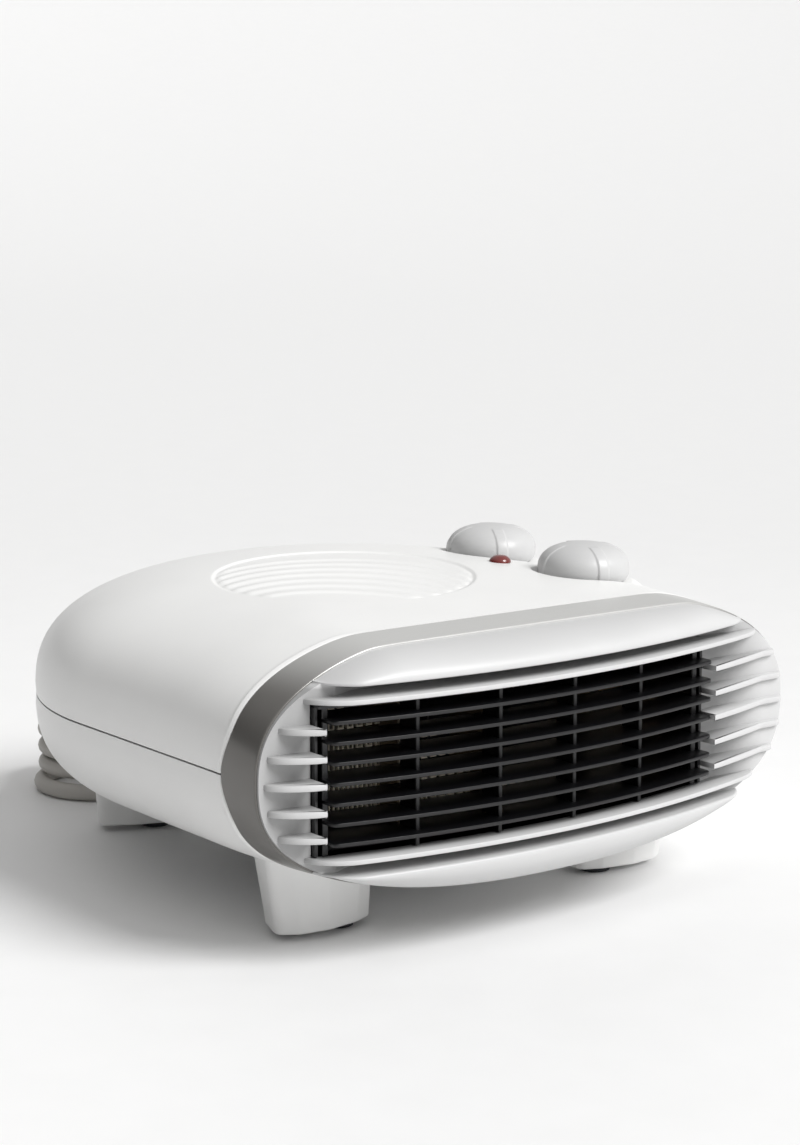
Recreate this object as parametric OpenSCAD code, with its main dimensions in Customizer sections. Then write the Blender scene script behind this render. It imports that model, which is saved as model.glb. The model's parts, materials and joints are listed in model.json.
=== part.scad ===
// Flat fan heater on four feet: an oval shell, a curved outlet in front and two knobs on top.
// X runs to the viewer's right, the front faces -Y, Z is up, and the origin is on the floor.

/* [Shell] */
// Width of the shell
body_w = 250; // [244:1:262]
// Depth from the front's apex to the rear
body_d = 272; // [266:1:286]
// Height of the shell from belly to roof
shell_h = 100; // [98:1:104]
// Height of the belly above the floor
belly_z = 20; // [17:0.5:24]
// Exponent of the shell's oval section
oval_n = 2.8; // [2.6:0.1:3.2]
// Wall thickness of the covers
wall = 2.5; // [2:0.1:3]
// Height that the roof loses towards the front
roof_drop = 6.7; // [4:0.1:8]
// Width of the groove between the covers
seam_gap = 0.7; // [0.4:0.1:1.2]
// Clearance between pieces that lie together
fit = 0.3; // [0.2:0.05:0.4]

/* [Front] */
// Width of the silver band
band_w = 18; // [14:1:22]
// Depth of the bezel in front of the band
bezel_d = 24.5; // [22:0.5:27]
// Radius of the front's curve in plan
front_r = 381.5; // [340:1:440]
// Sideways place of the outlet, and of the fan behind it
outlet_x = -13.3; // [-16:0.1:-8]
// Depth of the outlet's middle below the seam
outlet_drop = 0.5; // [-1:0.1:1.5]
// Width of the outlet opening
outlet_w = 182; // [174:1:184]
// Height from the lower to the upper long fin
outlet_h = 50; // [48:0.5:52]
// Thickness of the bezel's fins
fin_t = 2.8; // [2:0.1:3.4]
// Pitch of the side fins
fin_pitch = 9.6; // [9:0.1:9.8]
// Height of the slot between a long fin and its lip
slot_h = 4.7; // [3:0.1:5.5]

/* [Grille] */
// Number of louvres
louvre_count = 7; // [5:1:8]
// Pitch of the louvres
louvre_pitch = 7.25; // [6:0.05:7.5]
// Thickness of a louvre at its front edge
louvre_t = 1.3; // [1:0.1:1.8]
// Depth of the louvres
louvre_d = 18; // [12:1:19]
// Pitch of the upright bars
bar_pitch = 34.75; // [30:0.25:36]
// Thickness of an upright bar
bar_t = 1.6; // [1.2:0.1:2.4]

/* [Heater] */
// Depth of the heater frame
heater_d = 28; // [24:1:29]
// Number of rows of heating ribbon
ribbon_rows = 6; // [4:1:6]
// Pitch of the rows
row_pitch = 8; // [7.2:0.1:8.2]
// Height of a ribbon's waves
wave_h = 5.3; // [4:0.1:5.8]
// Length of one wave along the ribbon
wave_l = 4.2; // [3.6:0.1:6]
// Thickness of a heating ribbon
ribbon_t = 0.6; // [0.4:0.05:0.8]
// Width of a heating ribbon
ribbon_w = 1.4; // [1:0.1:2]

/* [Fan] */
// Distance of the fan's axis behind the heater
fan_room = 67.2; // [66:0.1:70]
// Radius of the fan wheel
wheel_r = 52; // [46:0.5:54]
// Height of the fan wheel
wheel_h = 40; // [32:1:42]
// Number of blades
blade_count = 24; // [16:1:30]
// Radius of the motor shaft
shaft_r = 2.5; // [2:0.1:3]
// Running clearance of the turning pieces in their bores
run_fit = 0.05; // [0.03:0.01:0.08]

/* [Controls] */
// Distance of the knobs' axes from the shell's side
knob_side = 48; // [45:0.5:51]
// Distance of the selector knob's axis behind the silver band
selector_behind = 47; // [45:0.5:50]
// Distance between the knobs' axes
knob_apart = 60; // [56:0.5:64]
// Radius of a knob
knob_r = 18; // [15:0.5:19]
// Height of a knob
knob_h = 16; // [13:0.5:18]
// Width of the ribs on a knob
knob_rib = 3.8; // [2.5:0.1:5]
// Radius of the spindles
spindle_r = 3; // [2.5:0.1:3.5]
// Radius of the lamp
lamp_r = 4.5; // [3.5:0.1:5.5]

/* [Roof panel] */
// Radius of the round ribbed panel
panel_r = 52.5; // [46:0.5:54]
// Number of ribs on the panel
rib_count = 7; // [5:1:9]
// Height of the ribs
rib_h = 0.9; // [0.5:0.1:1.2]

/* [Feet] */
// Thickness of the rubber pads
pad_t = 2.5; // [1.5:0.1:3.5]
// Diameter of the rubber pads
pad_d = 12.4; // [10:0.1:14]

/* [Cord] */
// Diameter of the cord
cord_d = 7.2; // [6.6:0.1:7.3]
// Diameter of the plug's pins
pin_d = 4.8; // [4.7:0.1:4.9]
// Distance between the plug's pins
pin_gap = 19; // [18.8:0.1:19.2]
// Length of the plug's pins
pin_l = 19; // [18:0.5:20]
// Radius of the plug's face
plug_r = 18.5; // [17:0.5:18.5]

/* [Hidden] */
$fn = 72;

half_w = body_w / 2;
half_h = shell_h / 2;
rear_y = body_d / 2;
front_y = -rear_y;
axis_y = rear_y - half_w;
seam_z = belly_z + half_h;
outlet_z = seam_z - outlet_drop;
band_front = front_y + bezel_d;
band_back = band_front + band_w;
duct_back = band_front + 9;
heater_front = duct_back + fit;
fan_y = heater_front + heater_d + fan_room;
knob_x = half_w - knob_side;
selector_y = band_back + selector_behind;
thermostat_y = selector_y + knob_apart;
roof_top = seam_z + half_h + 0.3;
groove_d = 1.2;
sleeve_t = 2;
sleeve_l = 23;
post_at = half_w - 20;
post_y = axis_y - 61;
post_r = 4.5;
screw_r = 1.7;
screw_head_r = 3.2;

// Height of the oval above the seam at a distance from its axis
function oval_rise(r, inset = 0) = (half_h - inset)
    * pow(1 - pow(r / (half_w - inset), oval_n), 1 / oval_n);

// Quarter of the oval, from the side to the top
function quarter(inset, k = 14) = [for (i = [0:k]) let (t = 90 * i / k)
    [(half_w - inset) * pow(cos(t), 2 / oval_n), (half_h - inset) * pow(sin(t), 2 / oval_n)]];

// Upper half of the oval, closed along the seam
function half_oval(inset) = let (q = quarter(inset), k = len(q) - 1)
    concat(q, [for (i = [k - 1:-1:0]) [-q[i].x, q[i].y]]);

// Whole oval
function full_oval(inset) = let (u = half_oval(inset), n = len(u))
    concat(u, [for (i = [n - 2:-1:1]) [u[i].x, -u[i].y]]);

// Height of the roof, which falls towards the front
function roof_z(y) = let (s = (y - band_front) / (axis_y - band_front))
    roof_top - roof_drop * (1 - 1.25 * s + 0.25 * s * s);

// Extrudes a drawing of X and Z from one Y to another
module along_y(from, to) {
    translate([0, to, 0]) rotate([90, 0, 0]) linear_extrude(to - from) children();
}

// Everything below the roof, lowered by an inset
module under_roof(inset = 0) {
    start = front_y - 4;
    rotate([90, 0, 90]) translate([0, 0, -body_w]) linear_extrude(2 * body_w)
        polygon(concat(
            [for (i = [0:8]) let (y = start + (axis_y - start) * i / 8) [y, roof_z(y) - inset]],
            [[axis_y, -10], [start, -10]]));
}

// Plan of the shell, grown by a margin
module plan(margin) {
    translate([0, axis_y]) circle(half_w + margin);
    translate([-half_w - margin, front_y]) square([2 * (half_w + margin), axis_y - front_y]);
}

// Upper half of the shell as a solid, without its front
module upper_solid(inset, from) {
    translate([0, axis_y, seam_z]) rotate_extrude(angle = 180) polygon(concat([[0, 0]], quarter(inset)));
    intersection() {
        along_y(from, axis_y) translate([0, seam_z]) polygon(half_oval(inset));
        under_roof(inset);
    }
}

// Lower half of the shell as a solid, without its front
module lower_solid(inset, from) {
    translate([0, axis_y, seam_z]) mirror([0, 0, 1]) rotate_extrude(angle = 180)
        polygon(concat([[0, 0]], quarter(inset)));
    along_y(from, axis_y) translate([0, seam_z]) mirror([0, 1]) polygon(half_oval(inset));
}

// Relief at the outside of the seam
module seam_groove(up) {
    translate([0, 0, up ? seam_z - 0.01 : seam_z - seam_gap / 2]) linear_extrude(seam_gap / 2 + 0.01)
        difference() {
            plan(2);
            plan(-groove_d);
        }
}

// Places that hold the screws which join the covers
module at_posts() {
    for (side = [-1, 1]) {
        translate([side * post_at, post_y, 0]) children();
        translate([side * post_at * cos(45), axis_y + post_at * sin(45), 0]) children();
    }
}

/* Round ribbed panel: a shallow dish in the roof, tilted with it */
panel_z = 116.4 + (roof_top - 120.3);
panel_tilt = 1.8;
pad_below = 3.2;

module panel_slab(r, bottom, top) {
    translate([outlet_x, fan_y, panel_z]) rotate([panel_tilt, 0, 0])
        translate([0, 0, bottom]) cylinder(r = r, h = top - bottom);
}

module panel_ribs() {
    arc_r = 130;
    step = 2 * panel_r / (rib_count + 1);
    intersection() {
        panel_slab(panel_r + 20, -1, rib_h);
        translate([0, 0, panel_z - 6]) linear_extrude(12) intersection() {
            translate([outlet_x, fan_y]) circle(panel_r - 1.5);
            for (i = [1:rib_count])
                translate([outlet_x, fan_y - panel_r + i * step - arc_r + 3]) difference() {
                    circle(arc_r + step / 4, $fn = 180);
                    circle(arc_r - step / 4, $fn = 180);
                }
        }
    }
}

/* Knob pockets: the floor on which each knob turns */
pocket_floor = seam_z + oval_rise(knob_x) - 2.6;
pocket_r = knob_r + 2;
pocket_t = 1.8;
flare = 8;
bushing_r = 4.8;
knob_base = pocket_floor + fit;
control_top = pocket_floor - wall - fit;
control_h = 17;

module at_knobs() {
    for (y = [thermostat_y, selector_y]) translate([knob_x, y, 0]) children();
}

lamp_x = knob_x - knob_r - 1;
lamp_y = (thermostat_y + selector_y) / 2;
lamp_z = min(seam_z + oval_rise(lamp_x), roof_z(lamp_y)) - 0.2;

module upper_cover() color([0.95, 0.95, 0.94]) {
    difference() {
        union() {
            difference() {
                upper_solid(0, band_back);
                upper_solid(wall, band_back - 1);
            }
            intersection() {
                panel_slab(panel_r + 2, -pad_below, 2);
                upper_solid(wall / 2, band_back);
            }
            at_knobs() {
                translate([0, 0, pocket_floor - wall]) cylinder(r = pocket_r + pocket_t, h = wall + 1);
                translate([0, 0, pocket_floor]) rotate_extrude() polygon([[pocket_r - 0.7, -wall],
                    [pocket_r + flare - wall, -flare], [pocket_r + flare, -flare], [pocket_r + pocket_t, 0]]);
            }
        }
        seam_groove(true);
        panel_slab(panel_r, 0, 8);
        at_knobs() {
            translate([0, 0, pocket_floor]) cylinder(r = pocket_r, h = 20);
            translate([0, 0, pocket_floor - 10]) cylinder(r = bushing_r + fit, h = 20);
        }
        translate([lamp_x, lamp_y, seam_z + 30]) cylinder(r = lamp_r - 1.2 + fit, h = 40);
        translate([lamp_x, lamp_y, lamp_z]) cylinder(r = lamp_r + fit, h = 10);
    }
    panel_ribs();
    difference() {
        at_posts() translate([0, 0, seam_z + fit])
            cylinder(r = post_r, h = oval_rise(post_at + post_r) - fit - 0.4);
        at_posts() translate([0, 0, seam_z - 1]) cylinder(r = screw_r + 0.1, h = 14);
    }
}

/* Air intake under the fan */
intake_r = 45;
intake_slots = 11;
slot_w = 3.4;
scroll_bottom = outlet_z - outlet_h / 2 - fin_t - 0.7;
scroll_top = outlet_z + outlet_h / 2 + fin_t + 0.7;
prop_at = 53;

module at_props() {
    for (a = [30, 150, 270]) translate([outlet_x + prop_at * cos(a), fan_y + prop_at * sin(a), 0])
        children();
}

module lower_cover() color([0.93, 0.93, 0.92]) {
    head_z = seam_z - 14;
    floor_z = seam_z - oval_rise(post_at + post_r) + 0.4;
    difference() {
        union() {
            difference() {
                lower_solid(0, band_back);
                lower_solid(wall, band_back - 1);
            }
            at_posts() translate([0, 0, floor_z]) cylinder(r = post_r + 0.6, h = seam_z - floor_z);
            at_props() translate([0, 0, belly_z + wall / 2])
                cylinder(r = 4, h = scroll_bottom - belly_z - wall / 2);
        }
        seam_groove(false);
        at_posts() {
            translate([0, 0, belly_z - 5]) cylinder(r = screw_head_r + 0.4, h = head_z - belly_z + 5);
            translate([0, 0, belly_z]) cylinder(r = screw_r + 0.2, h = shell_h);
        }
        for (i = [0:intake_slots - 1]) {
            y = (i - (intake_slots - 1) / 2) * 2 * intake_r / (intake_slots + 1);
            l = sqrt(intake_r * intake_r - y * y);
            translate([outlet_x - l, fan_y + y - slot_w / 2, belly_z - 5]) cube([2 * l, slot_w, 9]);
        }
        gland_hole();
    }
}

/* Legs under the belly */
leg_z = pad_t;

// Leg between its outline on the floor and a larger one under the belly
module leg(foot, top, lift) difference() {
    hull() {
        translate([0, 0, leg_z]) linear_extrude(1) offset(r = 3, $fn = 24) offset(delta = -5) polygon(foot);
        translate([0, 0, leg_z + 2]) linear_extrude(1) offset(r = 3, $fn = 24) offset(delta = -3) polygon(foot);
        translate([0, 0, leg_z + lift]) linear_extrude(1) offset(r = 3, $fn = 24) offset(delta = -3) polygon(top);
    }
    lower_solid(0, band_back);
}

// Points measured inwards from the shell's left side, and backwards from its front or its round axis
function from_front(p) = [for (q = p) [q.x - half_w, q.y + front_y]];
function from_axis(p) = [for (q = p) [q.x - half_w, q.y + axis_y]];
front_foot = from_front([[31, 59], [39, 54], [51, 52.5], [65, 55], [74, 59], [74, 76], [37, 76]]);
front_top = from_front([[27, 60], [37, 54], [51, 52], [67, 54], [76, 59], [76, 80], [33, 80]]);
rear_foot = from_axis([[56, 83], [69, 76], [92, 68], [94, 86], [65, 97]]);
rear_top = from_axis([[52, 81], [68, 72], [94, 64], [96, 88], [63, 99]]);
pad_front = from_front([[62, 64]])[0];
pad_rear = from_axis([[83, 81]])[0];

module leg_front_left() color([0.94, 0.94, 0.93]) leg(front_foot, front_top, 30);

module leg_front_right() color([0.94, 0.94, 0.93]) mirror([1, 0, 0]) leg(front_foot, front_top, 30);

module leg_rear_left() color([0.94, 0.94, 0.93]) leg(rear_foot, rear_top, 34);

module leg_rear_right() color([0.94, 0.94, 0.93]) mirror([1, 0, 0]) leg(rear_foot, rear_top, 34);

module rubber_pads() color([0.12, 0.12, 0.13])
    for (side = [0, 1], p = [pad_front, pad_rear]) mirror([side, 0, 0])
        translate([p.x, p.y, 0]) cylinder(d = pad_d, h = pad_t);

/* Silver band behind the bezel */
module ring_y(from, to, outer, inner) difference() {
    intersection() {
        along_y(from, to) translate([0, seam_z]) polygon(full_oval(outer));
        under_roof(outer);
    }
    intersection() {
        along_y(from - 1, to + 1) translate([0, seam_z]) polygon(full_oval(inner));
        under_roof(inner);
    }
}

module trim_band() color([0.62, 0.62, 0.62]) ring_y(band_front, band_back, 0, wall);

/* Front: lips and fins follow one arc in plan, centred on the outlet */
arc_y = front_y + front_r;
lip_inset = 0.8;
fin_back = 26;
base_step = 7;
jamb = outlet_w / 2;
jamb_t = 2.5;
long_z = outlet_h / 2 + fin_t / 2;

// Y of the front's arc at a distance from the outlet's middle, set back by a depth
function arc_front(dx, back = 0) = arc_y - sqrt(pow(front_r - back, 2) - dx * dx);

// Turns a drawing of radius and height about the arc's axis
module on_arc(half_angle) translate([outlet_x, arc_y, outlet_z])
    rotate([0, 0, 270 - half_angle]) rotate_extrude(angle = 2 * half_angle, $fn = 240) children();

// Space that the bezel may fill in front of the band
module bezel_space(from, to) intersection() {
    along_y(from, to) translate([0, seam_z]) polygon(full_oval(lip_inset));
    under_roof(lip_inset);
}

lip_z = outlet_h / 2 + fin_t + slot_h;
upper_lip = [[front_r - 40, lip_z], [front_r - 1.2, lip_z], [front_r - 0.3, lip_z + 0.8],
    [front_r - 0.7, lip_z + 2.2], [front_r - 4, lip_z + 5.4], [front_r - 10, lip_z + 8.2],
    [front_r - 17, lip_z + 10.2], [front_r - 25, lip_z + 11.4], [front_r - 40, lip_z + 13]];
lower_lip = [[front_r - 40, -lip_z], [front_r - 1.2, -lip_z], [front_r - 0.3, -lip_z - 0.8],
    [front_r - 1, -lip_z - 4], [front_r - 4, -lip_z - 9.2], [front_r - 10, -lip_z - 13.2],
    [front_r - 17, -lip_z - 15.8], [front_r - 25, -lip_z - 17.2], [front_r - 40, -lip_z - 18]];

// Base surface that carries the side fins: a plate that meets the rim all round
base_t = 3;

// Everything behind the lips' outer faces, open between them
module behind_lips() on_arc(22) polygon(concat([for (i = [len(lower_lip) - 1:-1:2]) lower_lip[i]],
    [[front_r + 10, -lip_z - 0.8], [front_r + 10, lip_z + 0.8]],
    [for (i = [2:len(upper_lip) - 1]) upper_lip[i]]));

module bezel_base() {
    rim_x = half_w - lip_inset;
    jamb_y = arc_front(jamb) + base_step;
    front = concat(
        [[-rim_x - 1, band_front - 1], [-rim_x, band_front - 1], [outlet_x - jamb - 8, jamb_y + 1.2]],
        [for (i = [-5:5]) [outlet_x + i * jamb / 5, arc_front(i * jamb / 5, base_step)]],
        [[outlet_x + jamb + 16, jamb_y + 1.2], [rim_x, band_front - 1], [rim_x + 1, band_front - 1]]);
    n = len(front);
    intersection() {
        linear_extrude(200) polygon(concat(front, [for (i = [n - 1:-1:0]) front[i] + [0, base_t]]));
        behind_lips();
        union() {
            bezel_space(front_y - 1, band_front);
            intersection() {
                along_y(band_front - 1, band_front + 5) translate([0, seam_z]) polygon(full_oval(wall + fit));
                under_roof(wall + fit);
            }
        }
    }
}

// Front line of a fin: the arc, rounded back to the band before the fin's end
function fin_front(x, end_x) = let (u = min(1, abs(end_x - x) / fin_round),
    y = min(arc_front(x - outlet_x), band_front - fin_proud))
    band_front + fin_seat + (y - band_front - fin_seat) * sqrt(1 - pow(1 - u, 2));

module side_fin(z, side, reach) {
    x0 = outlet_x + side * (jamb - 0.5);
    x1 = side * reach;
    steps = 12;
    front = [for (i = [0:steps]) let (x = x1 + (x0 - x1) * pow(i / steps, 2)) [x, fin_front(x, x1)]];
    translate([0, 0, z - fin_t / 2]) linear_extrude(fin_t)
        polygon(concat(front, [[x0, band_front + fin_seat]]));
}

// Plan of the long fins, just in front of the arc between their rounded ends
module long_plan() polygon(concat([[long_reach, band_front + 1], [-long_reach, band_front + 1]],
    [for (i = [0:40]) let (x = -long_reach * cos(4.5 * i))
        [x, fin_front(x, sign(x) * long_reach) - 0.1]]));

fin_reach = [for (gaps = [[9.5, 4.5, 3, 4.5, 9.5], [6.5, 3, 2.4, 3, 6.5]]) [for (g = gaps) half_w - g]];
fin_proud = 2.6;
fin_seat = 0.5;
fin_round = 15;

module front_bezel() color([0.86, 0.86, 0.86]) {
    difference() {
        union() {
            bezel_base();
            ring_y(band_front - 1.2, band_front, lip_inset, wall + fit + sleeve_t);
            ring_y(band_front - 1, band_front + sleeve_l, wall + fit, wall + fit + sleeve_t);
            intersection() {
                union() {
                    on_arc(19) polygon(upper_lip);
                    on_arc(19) polygon(lower_lip);
                }
                bezel_space(front_y - 1, band_front);
            }
            translate([outlet_x - jamb - jamb_t, band_front - 6, outlet_z - long_z - fin_t / 2])
                cube([outlet_w + 2 * jamb_t, duct_back - band_front + 6, 2 * long_z + fin_t]);
            for (i = [0:4]) {
                side_fin(outlet_z + (i - 2) * fin_pitch, -1, fin_reach[0][i]);
                side_fin(outlet_z + (i - 2) * fin_pitch, 1, fin_reach[1][i]);
            }
            intersection() {
                for (s = [-1, 1]) on_arc(18) polygon([[front_r - fin_back, s * long_z - fin_t / 2],
                    [front_r - 0.4, s * long_z - fin_t / 2], [front_r, s * long_z - fin_t / 2 + 0.5],
                    [front_r, s * long_z + fin_t / 2 - 0.5], [front_r - 0.4, s * long_z + fin_t / 2],
                    [front_r - fin_back, s * long_z + fin_t / 2]]);
                linear_extrude(150) long_plan();
            }
        }
        translate([outlet_x - jamb, front_y - 5, outlet_z - outlet_h / 2])
            cube([outlet_w, bezel_d + sleeve_l + 20, outlet_h]);
    }
}

long_reach = half_w - 17;

/* Black outlet grille inside the bezel */
grille_back = 1.5;
sheath_t = 1;
sheath_back = 5;
bar_back = 6.8;
bar_d = 10;
grille_half = jamb - fit;
upright_t = 2.4;

module louvre(z) {
    r = front_r - grille_back;
    half = asin((grille_half - upright_t / 2) / r);
    on_arc(half) polygon([[r - louvre_d, z - 0.9], [r - 0.3, z - louvre_t / 2], [r, z - louvre_t / 2 + 0.3],
        [r, z + louvre_t / 2 - 0.3], [r - 0.3, z + louvre_t / 2], [r - louvre_d, z + 0.9]]);
}

module upright(dx, t, back, d) {
    y = arc_front(abs(dx), back);
    h = outlet_h - 2 * fit;
    translate([outlet_x + dx - t / 2, y, outlet_z - h / 2]) cube([t, d, h]);
}

module outlet_grille() color([0.08, 0.08, 0.085]) {
    for (i = [0:louvre_count - 1]) louvre((i - (louvre_count - 1) / 2) * louvre_pitch);
    for (k = [-1.5:1:1.5]) upright(k * bar_pitch, bar_t, bar_back, bar_d);
    for (s = [-1, 1]) upright(s * (grille_half - upright_t / 2), upright_t, 4, louvre_d);
    for (s = [-1, 1]) translate([0, 0, outlet_z + s * (outlet_h / 2 - fit - sheath_t / 2) - sheath_t / 2])
        linear_extrude(sheath_t) polygon(concat(
            [for (i = [-5:5]) [outlet_x + i * grille_half / 5, arc_front(i * grille_half / 5, sheath_back)]],
            [[outlet_x + grille_half, duct_back - 0.5], [outlet_x - grille_half, duct_back - 0.5]]));
    for (s = [-1, 1]) translate([outlet_x + s * (grille_half - sheath_t / 2) - sheath_t / 2, arc_front(jamb) + 6,
        outlet_z - outlet_h / 2 + fit]) cube([sheath_t, duct_back - 0.5 - arc_front(jamb) - 6, outlet_h - 2 * fit]);
}

/* Heater behind the grille */
frame_t = 0.8;
frame_half = jamb + jamb_t - 0.5;
frame_z = outlet_h / 2 + fin_t - 0.3;
board_x = [-84, -42, 0, 48, 84];
board_t = 0.8;
ribbon_y = heater_front + heater_d / 2;
ribbon_half = 86;

module heater_frame() color([0.6, 0.61, 0.62]) difference() {
    translate([outlet_x - frame_half, heater_front, outlet_z - frame_z])
        cube([2 * frame_half, heater_d, 2 * frame_z]);
    translate([outlet_x - frame_half + frame_t, heater_front - 1, outlet_z - frame_z + frame_t])
        cube([2 * (frame_half - frame_t), heater_d + 2, 2 * (frame_z - frame_t)]);
}

function row_z(i) = outlet_z + (i - (ribbon_rows - 1) / 2) * row_pitch;

module mica_boards() color([0.72, 0.62, 0.42]) difference() {
    for (x = board_x) translate([outlet_x + x - board_t / 2, heater_front + 2, outlet_z - frame_z + frame_t])
        cube([board_t, heater_d - 4, 2 * (frame_z - frame_t)]);
    for (i = [0:ribbon_rows - 1])
        translate([outlet_x - ribbon_half - 2, ribbon_y - ribbon_w / 2 - fit, row_z(i) - wave_h / 2 - fit])
            cube([2 * ribbon_half + 4, ribbon_w + 2 * fit, wave_h + 2 * fit]);
}

// One side of a square wave along X
function wave(n, shift) = [for (i = [0:n - 1], c = [0:3]) let (x = i * wave_l - n * wave_l / 2, t = ribbon_t)
    [x + (c < 2 ? (shift > 0 ? 0 : t) : (shift > 0 ? wave_l / 2 + t : wave_l / 2)),
     (c == 0 || c == 3) ? -wave_h / 2 + (shift > 0 ? t : 0) : wave_h / 2 - (shift > 0 ? 0 : t)]];

module ribbon() {
    n = floor(2 * ribbon_half / wave_l);
    upper = wave(n, 1);
    lower = wave(n, -1);
    m = len(upper);
    translate([0, ribbon_w / 2, 0]) rotate([90, 0, 0]) linear_extrude(ribbon_w)
        polygon(concat([[upper[0].x, -wave_h / 2]], upper, [[lower[m - 1].x + wave_l / 2, -wave_h / 2 + ribbon_t],
            [lower[m - 1].x + wave_l / 2, -wave_h / 2]],
            [for (i = [m - 1:-1:0]) lower[i]]));
}

module heating_ribbons() color([0.42, 0.36, 0.3])
    for (i = [0:ribbon_rows - 1]) translate([outlet_x, ribbon_y, row_z(i)]) ribbon();

module heater_terminals() color([0.78, 0.62, 0.28])
    for (z = [-18, -6, 6, 18]) translate([outlet_x + board_x[4] + board_t / 2, heater_front + heater_d - 11, outlet_z + z - 1.6])
        cube([0.8, 8, 3.2]);

module thermal_cutout() color([0.75, 0.5, 0.32])
    translate([outlet_x + board_x[4] - board_t / 2 - cutout_l, heater_front + 2, row_z(3) + wave_h / 2 + fit])
        cube([cutout_l, heater_d / 2 - 4, row_pitch - wave_h - 2 * fit]);
cutout_l = 22;

/* Fan: scroll, wheel and motor on one upright axis */
scroll_t = 1.6;
scroll_r = 60;
throat_half = frame_half + scroll_t;
throat_front = heater_front + heater_d + fit;
throat_back = fan_y - 33;
wheel_z = scroll_bottom + scroll_t + 4.5;
motor_gap = 1.2;
bearing_h = 3;
core_bottom = scroll_top + 0.5 + bearing_h;
motor_h = panel_z - pad_below - motor_gap - bearing_h - core_bottom;
motor_screw_x = 20;
bearing_plate = 1.2;
hub_r = 7;

module throat(inset) {
    translate([outlet_x, fan_y]) circle(scroll_r - inset);
    polygon([[outlet_x - scroll_r + inset, fan_y], [outlet_x - scroll_r + inset, throat_back],
        [outlet_x - throat_half + inset, throat_front - (inset > 0 ? 1 : 0)],
        [outlet_x + throat_half - inset, throat_front - (inset > 0 ? 1 : 0)],
        [outlet_x + scroll_r - inset, throat_back], [outlet_x + scroll_r - inset, fan_y]]);
}

module fan_scroll() color([0.2, 0.2, 0.21]) difference() {
    translate([0, 0, scroll_bottom]) linear_extrude(scroll_top - scroll_bottom) throat(0);
    translate([0, 0, scroll_bottom + scroll_t]) linear_extrude(scroll_top - scroll_bottom - 2 * scroll_t)
        throat(scroll_t);
    translate([outlet_x, fan_y, scroll_bottom - 1]) cylinder(r = wheel_r - 8, h = scroll_t + 2);
    translate([outlet_x, fan_y, scroll_top - scroll_t - 1]) cylinder(r = 12, h = scroll_t + 2);
}

module fan_wheel() color([0.25, 0.25, 0.26]) translate([outlet_x, fan_y, wheel_z]) {
    ring_h = 2;
    difference() {
        cylinder(r = wheel_r, h = ring_h);
        translate([0, 0, -1]) cylinder(r = wheel_r - 11, h = ring_h + 2);
    }
    difference() {
        union() {
            translate([0, 0, wheel_h - ring_h]) cylinder(r = wheel_r, h = ring_h);
            translate([0, 0, wheel_h - 14]) cylinder(r = hub_r, h = 14);
        }
        translate([0, 0, wheel_h - 20]) cylinder(r = shaft_r, h = 30);
    }
    for (i = [0:blade_count - 1]) rotate([0, 0, i * 360 / blade_count])
        translate([wheel_r - 10.5, -0.6, ring_h - 0.5]) rotate([0, 0, 20]) cube([10, 1.2, wheel_h - 2 * ring_h + 1]);
}

shaft_bottom = wheel_z + wheel_h - 14;
bearing_r = 7;
core_top = core_bottom + motor_h;
shaft_top = core_top + bearing_h;
rotor_r = 10.5;

module motor_shaft() color([0.75, 0.76, 0.78]) translate([outlet_x, fan_y, shaft_bottom])
    cylinder(r = shaft_r, h = shaft_top - shaft_bottom);

module motor_rotor() color([0.55, 0.56, 0.58]) translate([outlet_x, fan_y, core_top - motor_h + 0.6]) difference() {
    cylinder(r = rotor_r, h = motor_h - 1.2);
    translate([0, 0, -1]) cylinder(r = shaft_r, h = motor_h + 2);
}

// Bearing plates above and below the core, with their bushes
module motor_bearings() color([0.68, 0.69, 0.7]) for (z = [core_top - motor_h - bearing_h, core_top])
    translate([outlet_x, fan_y, z]) difference() {
        union() {
            cylinder(r = bearing_r, h = bearing_h);
            translate([-24, -6, z > core_top - 1 ? 0 : bearing_h - bearing_plate]) cube([48, 12, bearing_plate]);
        }
        translate([0, 0, -1]) cylinder(r = shaft_r + run_fit, h = bearing_h + 2);
        for (s = [-1, 1]) translate([s * motor_screw_x, 0, -1]) cylinder(r = screw_r + 0.2, h = bearing_h + 2);
    }

core_w = 56;
coil_over = 2.8;
core_front = 14;
core_rear = 40;
limb = 9;

module motor_stator() color([0.5, 0.5, 0.52]) translate([outlet_x, fan_y, core_top - motor_h]) difference() {
    translate([-core_w / 2, -core_front, 0]) cube([core_w, core_front + core_rear, motor_h]);
    translate([0, 0, -1]) cylinder(r = rotor_r + 0.6, h = motor_h + 2);
    for (s = [-1, 1]) translate([s * 19, core_front + 1, -1]) translate([-7, 0, 0])
        cube([14, core_rear - core_front - 1 - limb, motor_h + 2]);
    for (s = [-1, 1]) translate([s * motor_screw_x, 0, -1]) cylinder(r = screw_r + 0.2, h = motor_h + 2);
}

module motor_coil() color([0.7, 0.42, 0.2]) translate([outlet_x, fan_y + core_front + 1.5, core_top - motor_h / 2])
    difference() {
        translate([-18.5, 0, -motor_h / 2 - coil_over])
            cube([37, core_rear - core_front - limb - 2, motor_h + 2 * coil_over]);
        translate([-12 - fit, -1, -motor_h / 2 - fit])
            cube([24 + 2 * fit, core_rear, motor_h + 2 * fit]);
    }

module motor_screws() color([0.8, 0.8, 0.82]) for (s = [-1, 1])
    translate([outlet_x + s * motor_screw_x, fan_y, scroll_top]) {
        cylinder(r = 3.4, h = core_top - motor_h - bearing_plate - scroll_top);
        cylinder(r = screw_r, h = core_top + bearing_plate - scroll_top);
        translate([0, 0, core_top + bearing_plate - scroll_top]) cylinder(r = 3, h = 1.4);
    }

/* Controls under the knobs */
control_w = 21;
control_d = 20;

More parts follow.
